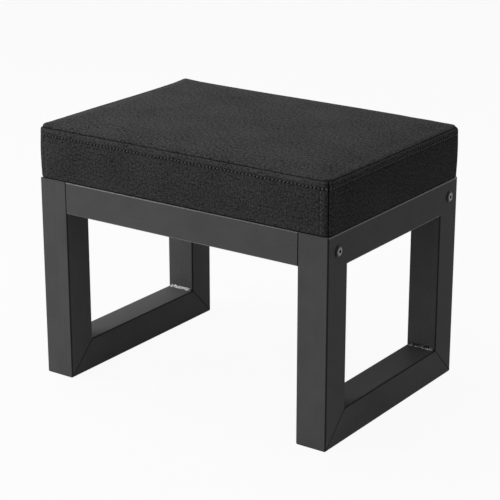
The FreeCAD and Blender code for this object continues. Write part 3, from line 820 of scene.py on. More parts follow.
@dataclass(frozen=True)
class SeatForm:
    """The outer form of the stuffed seat: a rounded box with a seam part way round its top edge."""

    half_length: float
    half_depth: float
    base: float
    seam: float
    edge: float
    crown: float
    proud: float = 1 * MM
    roll_height: float = 6.6 * MM
    corner: float = 9 * MM
    seam_inset: float = 1.1 * MM
    edge_inset: float = 11.5 * MM
    seam_turn: float = math.radians(25)
    bulge: float = 0.7 * MM
    tuck: float = 1.6 * MM
    crown_power_long: int = 4
    crown_power_deep: int = 3
    corner_power: float = 5.0
    corner_tight: float = 1.6
    slack_corner: float = 0.5
    slack_right: float = 0.5
    slack_right_power: int = 3
    slack_reach: float = 40 * MM

    @classmethod
    def packed(cls) -> "SeatForm":
        """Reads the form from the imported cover, which is proud of the frame all round.

        Returns:
            The form.
        """
        top_low, top_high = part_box("seat_top_panel")
        edge = top_low.z + cls.roll_height
        return cls(
            half_length=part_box("right_front_leg")[1].x + cls.proud,
            half_depth=cls.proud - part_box("front_rail")[0].y,
            base=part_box("front_band")[0].z,
            seam=top_low.z,
            edge=edge,
            crown=top_high.z - edge,
        )

    def side_inset(self, level: float) -> float:
        """Finds how far inside the plain outline the side is.

        Args:
            level: The level up the side.

        Returns:
            The inset: the tuck at the bottom, a slight bulge, and the rounding of the top edge.
        """
        tucked = self.base + self.tuck
        rounding = self.edge - self.edge_inset
        if level < tucked:
            share = (tucked - level) / self.tuck
            return self.tuck * share * share
        if level < rounding:
            return -self.bulge * math.sin(math.pi * (level - tucked) / (rounding - tucked))
        rise = min(1.0, (level - rounding) / self.edge_inset)
        return self.edge_inset * (1 - math.sqrt(1 - rise * rise))

    def roll_inset(self, share: float) -> float:
        """Finds the inset on the rolled edge.

        Args:
            share: The share of the roll, from the seam at 0 to the flat top at 1.

        Returns:
            The distance inside the plain outline.
        """
        angle = self.seam_turn + (math.pi / 2 - self.seam_turn) * share
        drawn = (math.cos(self.seam_turn) - math.cos(angle)) / math.cos(self.seam_turn)
        return self.seam_inset + (self.edge_inset - self.seam_inset) * drawn

    def turned(self, inset: float) -> float:
        """Returns how far the rolled edge has turned at an inset, in radians from upright."""
        drawn = clamped((inset - self.seam_inset) / (self.edge_inset - self.seam_inset))
        return math.acos(math.cos(self.seam_turn) * (1 - drawn))

    def risen(self, inset: float) -> float:
        """Returns the share of the rolled edge's height that is reached at an inset."""
        return (math.sin(self.turned(inset)) - math.sin(self.seam_turn)) / (1 - math.sin(self.seam_turn))

    def top_level(self, x: float, y: float, inset_x: float, inset_y: float) -> float:
        """Finds the level of the top.

        Args:
            x: The place along the seat.
            y: The place across the seat.
            inset_x: The place's distance inside the nearer end of the outline.
            inset_y: The place's distance inside the nearer long side of the outline.

        Returns:
            The level, lower at the corners and the right end, where the cover is less full.
        """
        along = min(1.0, abs(x) / (self.half_length - self.edge_inset))
        across = min(1.0, abs(y) / (self.half_depth - self.edge_inset))
        at_corner = math.exp(-(inset_x + inset_y) / self.slack_reach)
        tight = 1 + self.corner_tight * at_corner
        short = [(1 - self.risen(inset)) ** tight for inset in (inset_x, inset_y)]
        power = self.corner_power
        rolled = (self.edge - self.seam) * max(0.0, 1 - sum(share**power for share in short) ** (1 / power))
        rear_left = max(0.0, -x / self.half_length) * max(0.0, y / self.half_depth)
        full = 1 - self.slack_corner * (1 - rear_left) * at_corner
        full *= 1 - self.slack_right * max(0.0, x / self.half_length) ** self.slack_right_power
        crowned = (1 - along**self.crown_power_long) * (1 - across**self.crown_power_deep)
        return self.seam + rolled * full + self.crown * crowned


class Side(Enum):
    """A side of the seat, as the turns of a quarter from the front."""

    FRONT = 0
    RIGHT = 1
    REAR = 2
    LEFT = 3

    def long(self) -> bool:
        """Returns whether this is a long side."""
        return self in (Side.FRONT, Side.REAR)

    def half_run(self, form: SeatForm) -> float:
        """Returns half the side's straight length, between the rounded corners."""
        return (form.half_length if self.long() else form.half_depth) - form.corner

    def half_width(self, form: SeatForm) -> float:
        """Returns half the side's length along the cloth, to the middle of each corner."""
        return self.half_run(form) + form.corner * math.pi / 4

    def outline(self, form: SeatForm, along: float) -> tuple[Vector, Vector, Vector]:
        """Finds a place on the widest outline.

        Args:
            form: The seat's form.
            along: The distance along the cloth from the middle of the side.

        Returns:
            The place, the way out and the way along, all level.
        """
        run = self.half_run(form)
        reach = form.half_depth if self.long() else form.half_length
        sign = 1 if along >= 0 else -1
        angle = max(0.0, abs(along) - run) / form.corner
        place = Vector((
            sign * (min(abs(along), run) + form.corner * math.sin(angle)),
            -(reach - form.corner) - form.corner * math.cos(angle),
            0,
        ))
        out = Vector((sign * math.sin(angle), -math.cos(angle), 0))
        way = Vector((math.cos(angle), sign * math.sin(angle), 0))
        return tuple(self.turned(vector) for vector in (place, out, way))

    def turned(self, vector: Vector) -> Vector:
        """Turns a vector of the front side to this side.

        Args:
            vector: The vector.

        Returns:
            The turned vector.
        """
        for _ in range(self.value):
            vector = Vector((-vector.y, vector.x, vector.z))
        return vector


@dataclass(frozen=True)
class SeamTurn:
    """How cloth turns in at a seam: how deep it lies at each distance from the seam line."""

    distances: tuple[float, ...] = (0.1 * MM, 0.28 * MM, 0.6 * MM, 1.1 * MM, 2.0 * MM)
    depths: tuple[float, ...] = (3.0 * MM, 1.3 * MM, 0.5 * MM, 0.14 * MM, 0.0)
    pinch: float = 0.25
    pinch_reach: float = 12 * MM

    def depth(self, distance: float, to_corner: float) -> float:
        """Finds how deep the cloth lies, deeper and wider where two seams meet.

        Args:
            distance: The distance from the seam line.
            to_corner: The distance from the nearest corner of the seat.

        Returns:
            The depth under the plain form.
        """
        pinched = 1 + self.pinch * bell(to_corner, self.pinch_reach)
        return pinched * float(np.interp(distance / pinched, self.distances, self.depths))


@dataclass
class StuffedCover:
    """The cover's swelling over the foam, found with a cloth simulation on a coarse closed shape."""

    form: SeatForm
    spacing: float = 7 * MM
    rim_steps: tuple[float, ...] = (0.2, 0.6, 1.0)
    slack: float = 0.7 * MM
    held_rise: float = 4 * MM
    seam_hold: float = 0.75
    last_frame: int = 20
    most: float = 1.8 * MM
    reach: float = 7 * MM
    neighbours: int = 10
    least_share: float = 1e-9
    cloth: dict[str, float | bool | str] = field(default_factory=lambda: {
        "quality": 6,
        "mass": 0.3,
        "tension_stiffness": 25,
        "compression_stiffness": 25,
        "bending_stiffness": 2,
        "use_pressure": True,
        "uniform_pressure_force": 4.0,
        "vertex_group_mass": "held",
    })
    tree: kdtree.KDTree | None = None
    moves: list[Vector] = field(default_factory=list)

    def shell(self, inset: float, base: float) -> tuple[Sheet, list[int]]:
        """Makes the seat's form as one closed shape.

        Args:
            inset: How far inside the cover's outer form the shape lies.
            base: The level of its flat bottom.

        Returns:
            The shape, and the numbers of the points on its seam line.
        """
        form, sheet = self.form, Sheet()
        top = TopGrid(form, self.spacing, self.rim_steps)
        rows = [
            [sheet.add(Vector((spot.x, spot.y, spot.level - inset))) for spot in row]
            for row in top.rows(inset)
        ]
        sheet.join(rows)
        rim = top.rim(rows)
        lower = rim
        seam: list[int] = []
        for level in even(form.seam - inset, base, self.spacing):
            edge = top.rim(top.rows(form.side_inset(level) - top.first() + inset))
            ring = [sheet.add(Vector((spot.x, spot.y, level))) for spot in edge]
            sheet.join([ring, lower], closed=True)
            lower = ring
            seam = seam or ring
        under = [list(row) for row in rows]
        for row in under:
            for place, number in enumerate(row):
                if number in rim:
                    row[place] = lower[rim.index(number)]
                else:
                    point = sheet.points[number]
                    row[place] = sheet.add(Vector((point.x, point.y, base)))
        sheet.join([row[::-1] for row in under])
        return sheet, seam

    def blank(self) -> tuple[Sheet, bpy.types.Object]:
        """Makes the coarse shape as a piece of cloth that is held at its seam and bottom.

        Returns:
            The shape as it is before, and the piece.
        """
        sheet, seam = self.shell(self.slack, self.form.base)
        piece = sheet.piece("seat_shell")
        held = piece.vertex_groups.new(name="held")
        bottom = self.form.base + self.held_rise
        held.add([number for number, point in enumerate(sheet.points) if point.z < bottom], 1.0, "REPLACE")
        held.add(seam, self.seam_hold, "REPLACE")
        modifier = piece.modifiers.new("cloth", "CLOTH")
        for name, value in self.cloth.items():
            setattr(modifier.settings, name, value)
        modifier.settings.effector_weights.gravity = 0
        modifier.collision_settings.use_collision = False
        modifier.point_cache.frame_start = 1
        modifier.point_cache.frame_end = self.last_frame
        return sheet, piece

    def settle(self) -> None:
        """Swells the coarse shape and keeps how far each of its points moved."""
        sheet, blank = self.blank()
        scene = bpy.context.scene
        for number in range(1, self.last_frame + 1):
            scene.frame_set(number)
        swollen = blank.evaluated_get(bpy.context.evaluated_depsgraph_get())
        after = [vertex.co.copy() for vertex in swollen.data.vertices]
        self.tree = kdtree.KDTree(len(after))
        for number, (start, end) in enumerate(zip(sheet.points, after)):
            move = end - start
            if move.length > self.most:
                move *= self.most / move.length
            self.tree.insert(start, number)
            self.moves.append(move)
        self.tree.balance()
        scene.frame_set(1)
        bpy.data.objects.remove(blank, do_unlink=True)
        LOG.info("cover swelled by up to %.2f mm", max(move.length for move in self.moves) / MM)

    def shift(self, point: Vector) -> Vector:
        """Finds how far the cover moves.

        Args:
            point: A place on its outer form.

        Returns:
            The mean of the nearest points' moves, or none where nothing has been settled.
        """
        total, weight = Vector((0, 0, 0)), 0.0
        if self.tree is None:
            return total
        for _, number, distance in self.tree.find_n(point, self.neighbours):
            share = bell(distance, self.reach) + self.least_share
            total += self.moves[number] * share
            weight += share
        return total / weight


@dataclass(frozen=True)
class Spot:
    """A place on the plain form's top, with its distances inside the outline's ends and long sides."""

    x: float
    y: float
    level: float
    inset_x: float
    inset_y: float

    def signed(self, x: float, y: float, z: float = 0.0) -> Vector:
        """Returns the vector with its level parts pointing away from the middle of the top."""
        return Vector((math.copysign(x, self.x), math.copysign(y, self.y), z))


@dataclass(frozen=True)
class TopGrid:
    """A grid of rows and columns that follows the rounded outline of the seat's top."""

    form: SeatForm
    spacing: float
    rim_steps: tuple[float, ...] = (0.2, 0.33, 0.47, 0.62, 0.8, 1.0)

    def first(self) -> float:
        """Returns how far inside the plain outline the grid's edge lies."""
        return self.form.roll_inset(self.rim_steps[0])

    def lines(self, full: float, inset: float) -> list[tuple[float, float, float]]:
        """Places the grid's lines from one side of the top to the other.

        Args:
            full: Half the plain outline's width across the lines.
            inset: How far inside its usual place the grid's edge lies.

        Returns:
            For each line, its middle of turn, its share of the corner and its distance from the edge.
        """
        corner = self.form.corner
        half = full - self.first() - inset
        distances = [self.form.roll_inset(step) - self.first() for step in self.rim_steps]
        distances += even(distances[-1], half, self.spacing, round(full / self.spacing))[1:]
        near = [
            (half - max(distance, corner), max(0.0, 1 - distance / corner), distance)
            for distance in distances
        ]
        return [(-middle, -share, distance) for middle, share, distance in near] + near[-2::-1]

    def rows(self, inset: float = 0.0) -> list[list[Spot]]:
        """Places the grid.

        Args:
            inset: How far inside its usual place the grid's edge lies.

        Returns:
            The rows of places on the top, from the front.
        """
        form, corner, first = self.form, self.form.corner, self.first()
        rows = []
        for middle_y, share_y, distance_y in self.lines(form.half_depth, inset):
            row = []
            for middle_x, share_x, distance_x in self.lines(form.half_length, inset):
                x = middle_x + corner * share_x * math.sqrt(1 - share_y * share_y / 2)
                y = middle_y + corner * share_y * math.sqrt(1 - share_x * share_x / 2)
                insets = first + distance_x, first + distance_y
                row.append(Spot(x, y, form.top_level(x, y, *insets), *insets))
            rows.append(row)
        return rows

    @staticmethod
    def rim(rows: list[list]) -> list:
        """Picks the grid's outermost entries.

        Args:
            rows: The entries, row by row.

        Returns:
            The outermost ones in order, from the front left corner to the right.
        """
        right = [row[-1] for row in rows[1:-1]]
        left = [row[0] for row in rows[1:-1]]
        return rows[0] + right + rows[-1][::-1] + left[::-1]


@dataclass
class CoverPanel:
    """What the panels of the cover share."""

    form: SeatForm
    stuffing: StuffedCover
    turn: SeamTurn = SeamTurn()
    thickness: float = 1.2 * MM

    def sewn(self, sheet: Sheet, name: str, node: str) -> None:
        """Makes the panel's piece, with the thickness of its cloth inwards.

        Args:
            sheet: The panel's outer face.
            name: The piece's name.
            node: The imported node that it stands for.
        """
        piece = sheet.piece(name)
        solid = piece.modifiers.new("cloth_thickness", "SOLIDIFY")
        solid.thickness = self.thickness
        solid.offset = -1
        finish_piece(piece, BrushedUpholstery(), "upholstery", node)


@dataclass
class TopPanel(CoverPanel):
    """The cover's top panel, with its rolled edge and the turn at the seam."""

    spacing: float = 2.6 * MM
    brushed: float = 1.5
    rolled: float = 1.4  # how much longer the cloth is over the rolled edge than the way straight in
    calm_reach: float = 12 * MM
    sway: float = 0.25 * MM
    sway_length: float = 75 * MM
    small_sway: float = 0.3
    small_sway_length: float = 24 * MM
    pucker: float = 0.1 * MM
    pucker_length: float = 5.2 * MM
    pucker_middle: float = 3 * MM
    pucker_reach: float = 4 * MM

    def settled(self, point: Vector, out: Vector, from_seam: float) -> Vector:
        """Moves a place on the plain form to where the stuffed cloth lies.

        Args:
            point: The place on the plain form.
            out: The way out of the form there.
            from_seam: The distance from the seam, over the cloth.

        Returns:
            The place on the finished panel.
        """
        calm = min(1.0, from_seam / self.calm_reach)
        lift = self.sway * calm * ripple(point.x, point.y, 0.3, self.sway_length)
        lift += self.small_sway * self.sway * calm * ripple(point.x, point.y, 0.7, self.small_sway_length)
        gathers = ripple(point.x, point.y, 0, self.pucker_length)
        lift += self.pucker * bell(from_seam - self.pucker_middle, self.pucker_reach) * gathers
        return point + self.stuffing.shift(point) + out * lift

    def laid(self, x: float, y: float) -> tuple[float, float]:
        """Returns a place on the flat cloth, drawn shorter on the top, where the nap is brushed longer."""
        flat = self.form.half_depth - self.form.edge_inset
        return x, math.copysign(min(abs(y), flat) / self.brushed + max(0.0, abs(y) - flat), y)

    def way_out(self, spot: Spot) -> Vector:
        """Finds the way out of the plain form.

        Args:
            spot: A place on the top.

        Returns:
            The way out.
        """
        turned_x, turned_y = self.form.turned(spot.inset_x), self.form.turned(spot.inset_y)
        rise = math.sin(turned_x) * math.sin(turned_y)
        return spot.signed(math.cos(turned_x), math.cos(turned_y), rise).normalized()

    def level_way_out(self, spot: Spot, first: float) -> Vector:
        """Finds the level way out of the outline, which fans out round the corners.

        Args:
            spot: A place on the grid's edge.
            first: How far inside the plain outline the edge lies.

        Returns:
            The way out.
        """
        form = self.form
        past_x = abs(spot.x) - (form.half_length - first - form.corner)
        past_y = abs(spot.y) - (form.half_depth - first - form.corner)
        if past_x <= 0 or past_y <= 0:
            past_x, past_y = (1, 0) if past_x > past_y else (0, 1)
        return spot.signed(past_x, past_y).normalized()

    def build(self) -> None:
        """Makes the panel as a grid with its edge turned in at the seam."""
        form, sheet = self.form, Sheet()
        grid = TopGrid(form, self.spacing)
        first = grid.first()
        plain = grid.rows()
        rows = []
        for row in plain:
            numbers = []
            for spot in row:
                from_seam = self.rolled * (min(spot.inset_x, spot.inset_y) - form.seam_inset)
                place = self.settled(Vector((spot.x, spot.y, spot.level)), self.way_out(spot), from_seam)
                numbers.append(sheet.add(place, self.laid(spot.x, spot.y)))
            rows.append(numbers)
        sheet.join(rows)
        outer, edge = grid.rim(rows), grid.rim(plain)
        arc = form.edge_inset * (math.pi / 2 - form.seam_turn)
        for distance in self.turn.distances[::-1]:
            inset = form.roll_inset(distance / arc)
            ring = []
            for spot in edge:
                out = self.level_way_out(spot, first)
                level = form.seam + (spot.level - form.seam) * form.risen(inset) / form.risen(first)
                tilted = out * math.cos(form.seam_turn) + UP * math.sin(form.seam_turn)
                place = Vector((spot.x, spot.y, level)) + out * (first - inset)
                to_corner = math.hypot(form.half_length - abs(spot.x), form.half_depth - abs(spot.y))
                settled = self.settled(place, tilted, distance)
                settled -= tilted * self.turn.depth(distance, to_corner)
                spread = out * (self.rolled * (first - inset))
                ring.append(sheet.add(settled, self.laid(spot.x + spread.x, spot.y + spread.y)))
            sheet.join([ring, outer], closed=True)
            outer = ring
        self.sewn(sheet, "seat_cover_top", "seat_top_panel")


@dataclass
class SideBand(CoverPanel):
    """One side of the cover, from its hem under the seat to the seam round the top."""

    side: Side = Side.FRONT
    row_drop: float = 8.3 * MM
    row_side: float = 9.5 * MM
    row_end: float = 2.5 * MM
    row_fade: float = 9 * MM
    pitch: float = 4.9 * MM
    groove: float = 0.4 * MM
    groove_drop: float = 0.4 * MM
    groove_width: float = 1.3 * MM
    upright_groove: float = 1.6  # how much deeper the groove of an upright row is
    upright_width: float = 1.1 * MM
    hole: float = 2.4 * MM
    hole_width: float = 0.85 * MM
    hole_height: float = 0.95 * MM
    allowance: float = 1.5 * MM
    allowance_lean: float = 0.6
    pucker: float = 0.16 * MM
    upright_pucker: float = 0.7
    pucker_length: float = 5.5 * MM
    pucker_reach: float = 5 * MM
    pucker_slant: float = 0.25
    upright_slant: float = 0.2
    sway: float = 0.35 * MM
    sway_length: float = 60 * MM
    small_sway: float = 0.25
    small_sway_length: float = 18 * MM
    layer: float = 1.7  # how far apart in the noise two neighbouring sides are
    calm_rise: float = 1 * MM
    calm_reach: float = 8 * MM
    hem_insets: tuple[float, ...] = (24 * MM, 14 * MM, 8 * MM, 5 * MM, 3.4 * MM)
    fold: float = 14 * MM
    folded: float = 8 * MM
    tuck_shares: tuple[float, ...] = (0.05, 0.15, 0.3, 0.45, 0.7, 1.0)
    pitch_shares: tuple[float, ...] = (0.0, 0.28, 0.4, 0.5, 0.6, 0.72)
    row_rises: tuple[float, ...] = tuple(rise * MM for rise in (-2.2, -1.4, -0.8, -0.4, 0.0, 0.4, 0.8, 1.4))
    below_row: float = 3.2 * MM
    above_row: float = 2.1 * MM
    plain_step: float = 2.4 * MM
    fine_step: float = 0.9 * MM

    def half_row(self) -> float:
        """Returns half the length of the row of stitches below the seam."""
        return self.side.half_width(self.form) - self.row_end

    def stitches(self) -> list[float]:
        """Returns the middles of the row's stitches along the band."""
        return even(-self.half_row(), self.half_row(), self.pitch)

    def upright_rows(self) -> list[float]:
        """Returns where upright rows of stitching stand along the band, which only long sides have."""
        reach = self.side.half_width(self.form) - self.row_side
        return [-reach, reach] if self.side.long() else []

    def ridge(self, gap: float, width: float) -> float:
        """Finds the relief that a row of stitching and the seam allowance behind it give the cloth.

        Args:
            gap: The distance from the row towards the seam.
            width: The distance from the row to the seam.

        Returns:
            The height out of the plain form: a groove under the stitches, then the padded allowance.
        """
        height = -self.groove * bell(gap + self.groove_drop, self.groove_width)
        if 0 < gap < width:
            height += self.allowance * math.sin(math.pi * (gap / width) ** self.allowance_lean)
        return height

    def relief(self, along: float, level: float) -> float:
        """Finds how far stitching, seam allowances and gathers raise or sink the cloth.

        Args:
            along: The distance along the cloth from the middle of the side.
            level: The level up the side.

        Returns:
            The height out of the plain form.
        """
        own = self.layer * self.side.value
        half, reach = self.side.half_width(self.form), self.half_row()
        gap = level - self.form.seam + self.row_drop
        height = self.ridge(gap, self.row_drop) * (1 - bell(half - abs(along), self.row_fade))
        if abs(along) < reach:
            steps = len(self.stitches()) - 1
            phase = (along + reach) / (2 * reach) * steps
            from_hole = (abs(phase - round(phase)) - 0.5) * 2 * reach / steps
            height -= self.hole * bell(from_hole, self.hole_width) * bell(gap, self.hole_height)
        gathers = ripple(along + self.pucker_slant * level, own, 0.0, self.pucker_length)
        height += self.pucker * gathers * bell(gap, self.pucker_reach)
        for row in self.upright_rows():
            gap = (along - row) * (1 if row > 0 else -1)
            height -= self.upright_groove * self.groove * bell(gap, self.upright_width)
            gathers = ripple(level + self.upright_slant * along, own, 3.0, self.pucker_length)
            height += self.upright_pucker * self.pucker * gathers * bell(gap, self.pucker_reach)
        height += self.sway * ripple(along, level, own, self.sway_length)
        return height + self.small_sway * self.sway * ripple(along, level, own + 5, self.small_sway_length)

    def surface(self, along: float, level: float) -> tuple[Vector, Vector, Vector]:
        """Finds a place on the finished band.

        Args:
            along: The distance along the cloth from the middle of the side.
            level: The level up the side.

        Returns:
            The place, the way out and the way along.
        """
        form = self.form
        place, out, way = self.side.outline(form, along)
        plain = place - out * form.side_inset(level) + UP * level
        calm = clamped((level - form.base - self.calm_rise) / self.calm_reach)
        moved = plain + self.stuffing.shift(plain) * calm + out * self.relief(along, level) * calm
        return moved, out, way

    def columns(self) -> list[float]:
        """Places the band's columns.

        Returns:
            Their distances from its middle, closer at the needle holes and at the corners.
        """
        half = self.side.half_width(self.form)
        ends = [half - distance for distance in self.turn.distances if distance < self.row_end]
        stitches = self.stitches()
        middle = []
        for start, end in zip(stitches, stitches[1:]):
            middle += [start + (end - start) * share for share in self.pitch_shares]
        return [-place for place in ends] + middle + stitches[-1:] + ends[::-1]

    def levels(self) -> list[float]:
        """Places the band's levels.

        Returns:
            The levels from its tuck to the seam, closer at the row of stitches and at both edges.
        """
        form = self.form
        row_level = form.seam - self.row_drop
        low = [form.base + form.tuck * share for share in self.tuck_shares]
        middle = even(low[-1], row_level - self.below_row, self.plain_step)[1:]
        near_row = [row_level + rise for rise in self.row_rises]
        high = even(row_level + self.above_row, form.seam - self.turn.distances[-1], self.fine_step)
        turned = [form.seam - distance for distance in self.turn.distances[::-1][1:]]
        return low + middle + near_row + high + turned

    def hemmed(self, along: float, inset: float) -> Vector:
        """Finds a place on the hem under the seat, which is cut back and folded at the corners.

        Args:
            along: The distance along the cloth from the middle of the side.
            inset: The distance inside the outline at the middle of the side.

        Returns:
            The place.
        """
        place, out, _ = self.side.outline(self.form, along)
        past = max(0.0, abs(along) - self.side.half_run(self.form) + self.fold)
        turned = min(inset, max(self.hem_insets[-1], self.hem_insets[0] - past))
        under = place - out * (min(turned, self.folded) if past > self.fold else turned)
        return under + UP * self.form.base

    def build(self) -> None:
        """Makes the band as a grid, with its ends and top edge turned in and its hem folded under."""
        form, sheet = self.form, Sheet()
        half = self.side.half_width(form)
        columns = self.columns()
        rows = []
        for inset in self.hem_insets:
            flat = form.base - inset
            rows.append([sheet.add(self.hemmed(along, inset), (along, flat)) for along in columns])
        for level in self.levels():
            numbers = []
            for along in columns:
                place, out, _ = self.surface(along, level)
                under_seam, beside_seam = form.seam - level, half - abs(along)
                depths = self.turn.depth(under_seam, beside_seam), self.turn.depth(beside_seam, under_seam)
                numbers.append(sheet.add(place - out * max(depths), (along, level)))
            rows.append(numbers)
        sheet.join(rows)
        name = f"{self.side.name.lower()}_band"
        self.sewn(sheet, f"seat_cover_{name}", name)


@dataclass
class Topstitching:
    """The rows of stitches on one band, each stitch a short length of thread that dips at its ends."""

    band: SideBand
    length: float = 3.0 * MM
    thread: float = 1.1 * MM  # the real thread is 0.5 mm thick; it is drawn this thick so that it shows
    rings: int = 6
    strands: int = 6
    rise: float = 0.3
    dip: float = 0.65
    least_round: float = 0.02
    sunk_side: float = 0.45
    sunk_corner: float = 0.55
    sunk_upright: float = 0.6
    corner_reach: float = 11 * MM
    slant: float = 0.08
    slant_length: float = 3 * MM
    upright_start: float = 5 * MM

    def sunk(self, along: float) -> float:
        """Finds how deep the thread is drawn in, deeper at the corners and on the short sides.

        Args:
            along: The distance along the cloth from the middle of the side.

        Returns:
            The depth under the cloth's face.
        """
        least = 0.0 if self.band.side.long() else self.sunk_side
        to_corner = self.band.side.half_width(self.band.form) - abs(along)
        return self.thread * max(least, self.sunk_corner * bell(to_corner, self.corner_reach))

    def stitch(self, sheet: Sheet, middle: Vector, out: Vector, way: Vector) -> None:
        """Adds one stitch.

        Args:
            sheet: The mesh that gets the stitch.
            middle: The middle of the stitch on the cloth.
            out: The way out of the cloth.
            way: The way that the stitch runs.
        """
        across = out.cross(way).normalized()
        rows = []
        for ring in range(self.rings + 1):
            share = 2 * ring / self.rings - 1
            thick = self.thread / 2 * math.sqrt(max(self.least_round, 1 - share**4))
            rise = self.thread * (self.rise - self.dip * share * share)
            centre = middle + way * (share * self.length / 2) + out * rise
            row = []
            for strand in range(self.strands):
                angle = 2 * math.pi * strand / self.strands
                point = centre + (across * math.cos(angle) + out * math.sin(angle)) * thick
                row.append(sheet.add(point, (share, angle)))
            rows.append(row)
        sheet.join(rows, closed=True)
        sheet.faces.append(tuple(rows[0]))
        sheet.faces.append(tuple(rows[-1][::-1]))

    def build(self) -> None:
        """Makes every stitch on the band as one piece."""
        band, sheet = self.band, Sheet()
        row_level = band.form.seam - band.row_drop
        for along in band.stitches():
            place, out, way = band.surface(along, row_level)
            slant = self.slant * ripple(along, row_level, 9.0, self.slant_length)
            self.stitch(sheet, place - out * self.sunk(along), out, (way + UP * slant).normalized())
        for row in band.upright_rows():
            for level in even(band.form.base + self.upright_start, row_level - band.pitch, band.pitch):
                place, out, _ = band.surface(row, level)
                self.stitch(sheet, place - out * (self.sunk_upright * self.thread), out, UP)
        piece = sheet.piece(f"topstitching_{band.side.name.lower()}")
        finish_piece(piece, BondedThread(), "upholstery")


@dataclass
class Seat:
    """The upholstered seat: foam, cover, topstitching, board, tee nuts, staples and underside cloth."""

    cover_gap: float = 2.4 * MM

    def foam(self, stuffing: StuffedCover) -> None:
        """Makes the foam block between the board and the cover.

        Args:
            stuffing: The cover's stuffing, whose form the foam follows.
        """
        board_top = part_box("seat_board")[1].z
        sheet, _ = stuffing.shell(self.cover_gap, board_top)
        foam = sheet.piece("seat_foam_block")
        finish_piece(foam, CutFoam(), "foam", "seat_foam")

    def build(self) -> None:
        """Makes and dresses the seat's pieces."""
        form = SeatForm.packed()
        stuffing = StuffedCover(form)
        stuffing.settle()
        self.foam(stuffing)
        TopPanel(form, stuffing).build()
        for side in Side:
            band = SideBand(form, stuffing, side=side)
            band.build()
            Topstitching(band).build()
        dress_packed({
            "seat_board": BirchPlywood(),
            "underside_cloth": SpunbondCloth(),
            "tee_nuts": ZincPlate(),
            "cover_staples": ZincPlate(),
        })


# The right frame's beads get a darker copy of the weld metal, with darker coated parts and fewer bare ones: a
# painted shade.
LIT_AND_SHADED_WELD_METALS = {"left": WeldMetal(), "right": WeldMetal(coated="#3c3c3c", bare_from=0.52)}


@dataclass
class EndFrame:
    """One end frame: four mitred tubes and the weld beads across their inside corners."""

    hand: str
    leg_size: float = 3.3 * MM
    belly: float = 0.2
    lump: float = 0.3
    lump_length: float = 5 * MM
    scale_pitch: float = 2.7 * MM
    scale_bow: float = 0.9 * MM
    scale_drift: float = 0.35
    scale_rise: float = 0.09
    grain: float = 0.05
    grain_length: float = 1.4 * MM
    end_reach: float = 3 * MM
    least_end: float = 0.02
    station: float = 0.45 * MM
    facets: int = 10
    sunk: float = 0.4 * MM

    def half_bead(self) -> float:
        """Returns half the length of a packed bead."""
        low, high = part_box(f"{self.hand}_frame_weld_beads")
        return (high.x - low.x) / 2

    def bead(self, sheet: Sheet, corner: Vector, wall: Vector, floor: Vector) -> None:
        """Adds one weld bead across an inside corner.

        Args:
            sheet: The mesh that gets the bead.
            corner: The middle of the corner line that the bead fills.
            wall: The way up the one tube's face.
            floor: The way along the other tube's face.
        """
        rows = []
        half = self.half_bead()
        for offset in even(-half, half, self.station):
            x = corner.x + offset
            middle = Vector((x, corner.y, corner.z))
            end = max(0.0, 1 - (half - abs(offset)) / self.end_reach)
            lump = 1 + self.lump * ripple(*middle, self.lump_length)
            row = [sheet.add(middle - (wall + floor) * self.sunk)]
            for facet in range(self.facets + 1):
                angle = math.pi / 2 * facet / self.facets
                curve = math.sin(2 * angle)
                drift = self.scale_drift * ripple(x, 1.0, 0.0, self.lump_length)
                phase = (x + self.scale_bow * curve) / self.scale_pitch + drift
                full = 1 + self.belly * curve + self.scale_rise * (phase % 1.0 - 0.5)
                size = self.leg_size * lump * full / (math.cos(angle) + math.sin(angle))
                size *= math.sqrt(max(self.least_end, 1 - end * end))
                grain = self.grain * ripple(x, corner.y + facet, corner.z, self.grain_length)
                reach = size * (1 + grain)
                place = middle + wall * (reach * math.sin(angle)) + floor * (reach * math.cos(angle))
                sink = self.sunk if facet in (0, self.facets) else 0.0
                row.append(sheet.add(place - (wall if facet == 0 else floor) * sink))
            rows.append(row)
        first = len(sheet.faces)
        sheet.join(rows, closed=True)
        sheet.faces.append(tuple(rows[0][::-1]))
        sheet.faces.append(tuple(rows[-1]))
        if wall.cross(floor).x > 0:
            sheet.faces[first:] = [face[::-1] for face in sheet.faces[first:]]

    def weld_beads(self) -> None:
        """Makes the frame's four beads as one piece."""
        sheet = Sheet()
        front_low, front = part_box(f"{self.hand}_front_leg")
        rear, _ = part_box(f"{self.hand}_rear_leg")
        _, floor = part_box(f"{self.hand}_bottom_tube")
        ceiling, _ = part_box(f"{self.hand}_top_tube")
        middle = (front_low.x + front.x) / 2
        for depth, inward in ((front.y, 1), (rear.y, -1)):
            for level, upward in ((floor.z, 1), (ceiling.z, -1)):
                self.bead(sheet, Vector((middle, depth, level)), UP * upward, Vector((0, inward, 0)))
        beads = sheet.piece(f"{self.hand}_weld_beads")
        finish_piece(beads, LIT_AND_SHADED_WELD_METALS[self.hand], "weld_bead", f"{self.hand}_frame_weld_beads")

    def build(self) -> None:
        """Dresses the frame's tubes and makes its weld beads."""
        leg = PowderCoat(Run.HEIGHT, slick_edges=False)
        dress_packed({
            f"{self.hand}_front_leg": leg,
            f"{self.hand}_rear_leg": leg,
            f"{self.hand}_top_tube": PowderCoat(Run.DEPTH),
            f"{self.hand}_bottom_tube": PowderCoat(Run.DEPTH, slick_edges=False),
        })
        self.weld_beads()


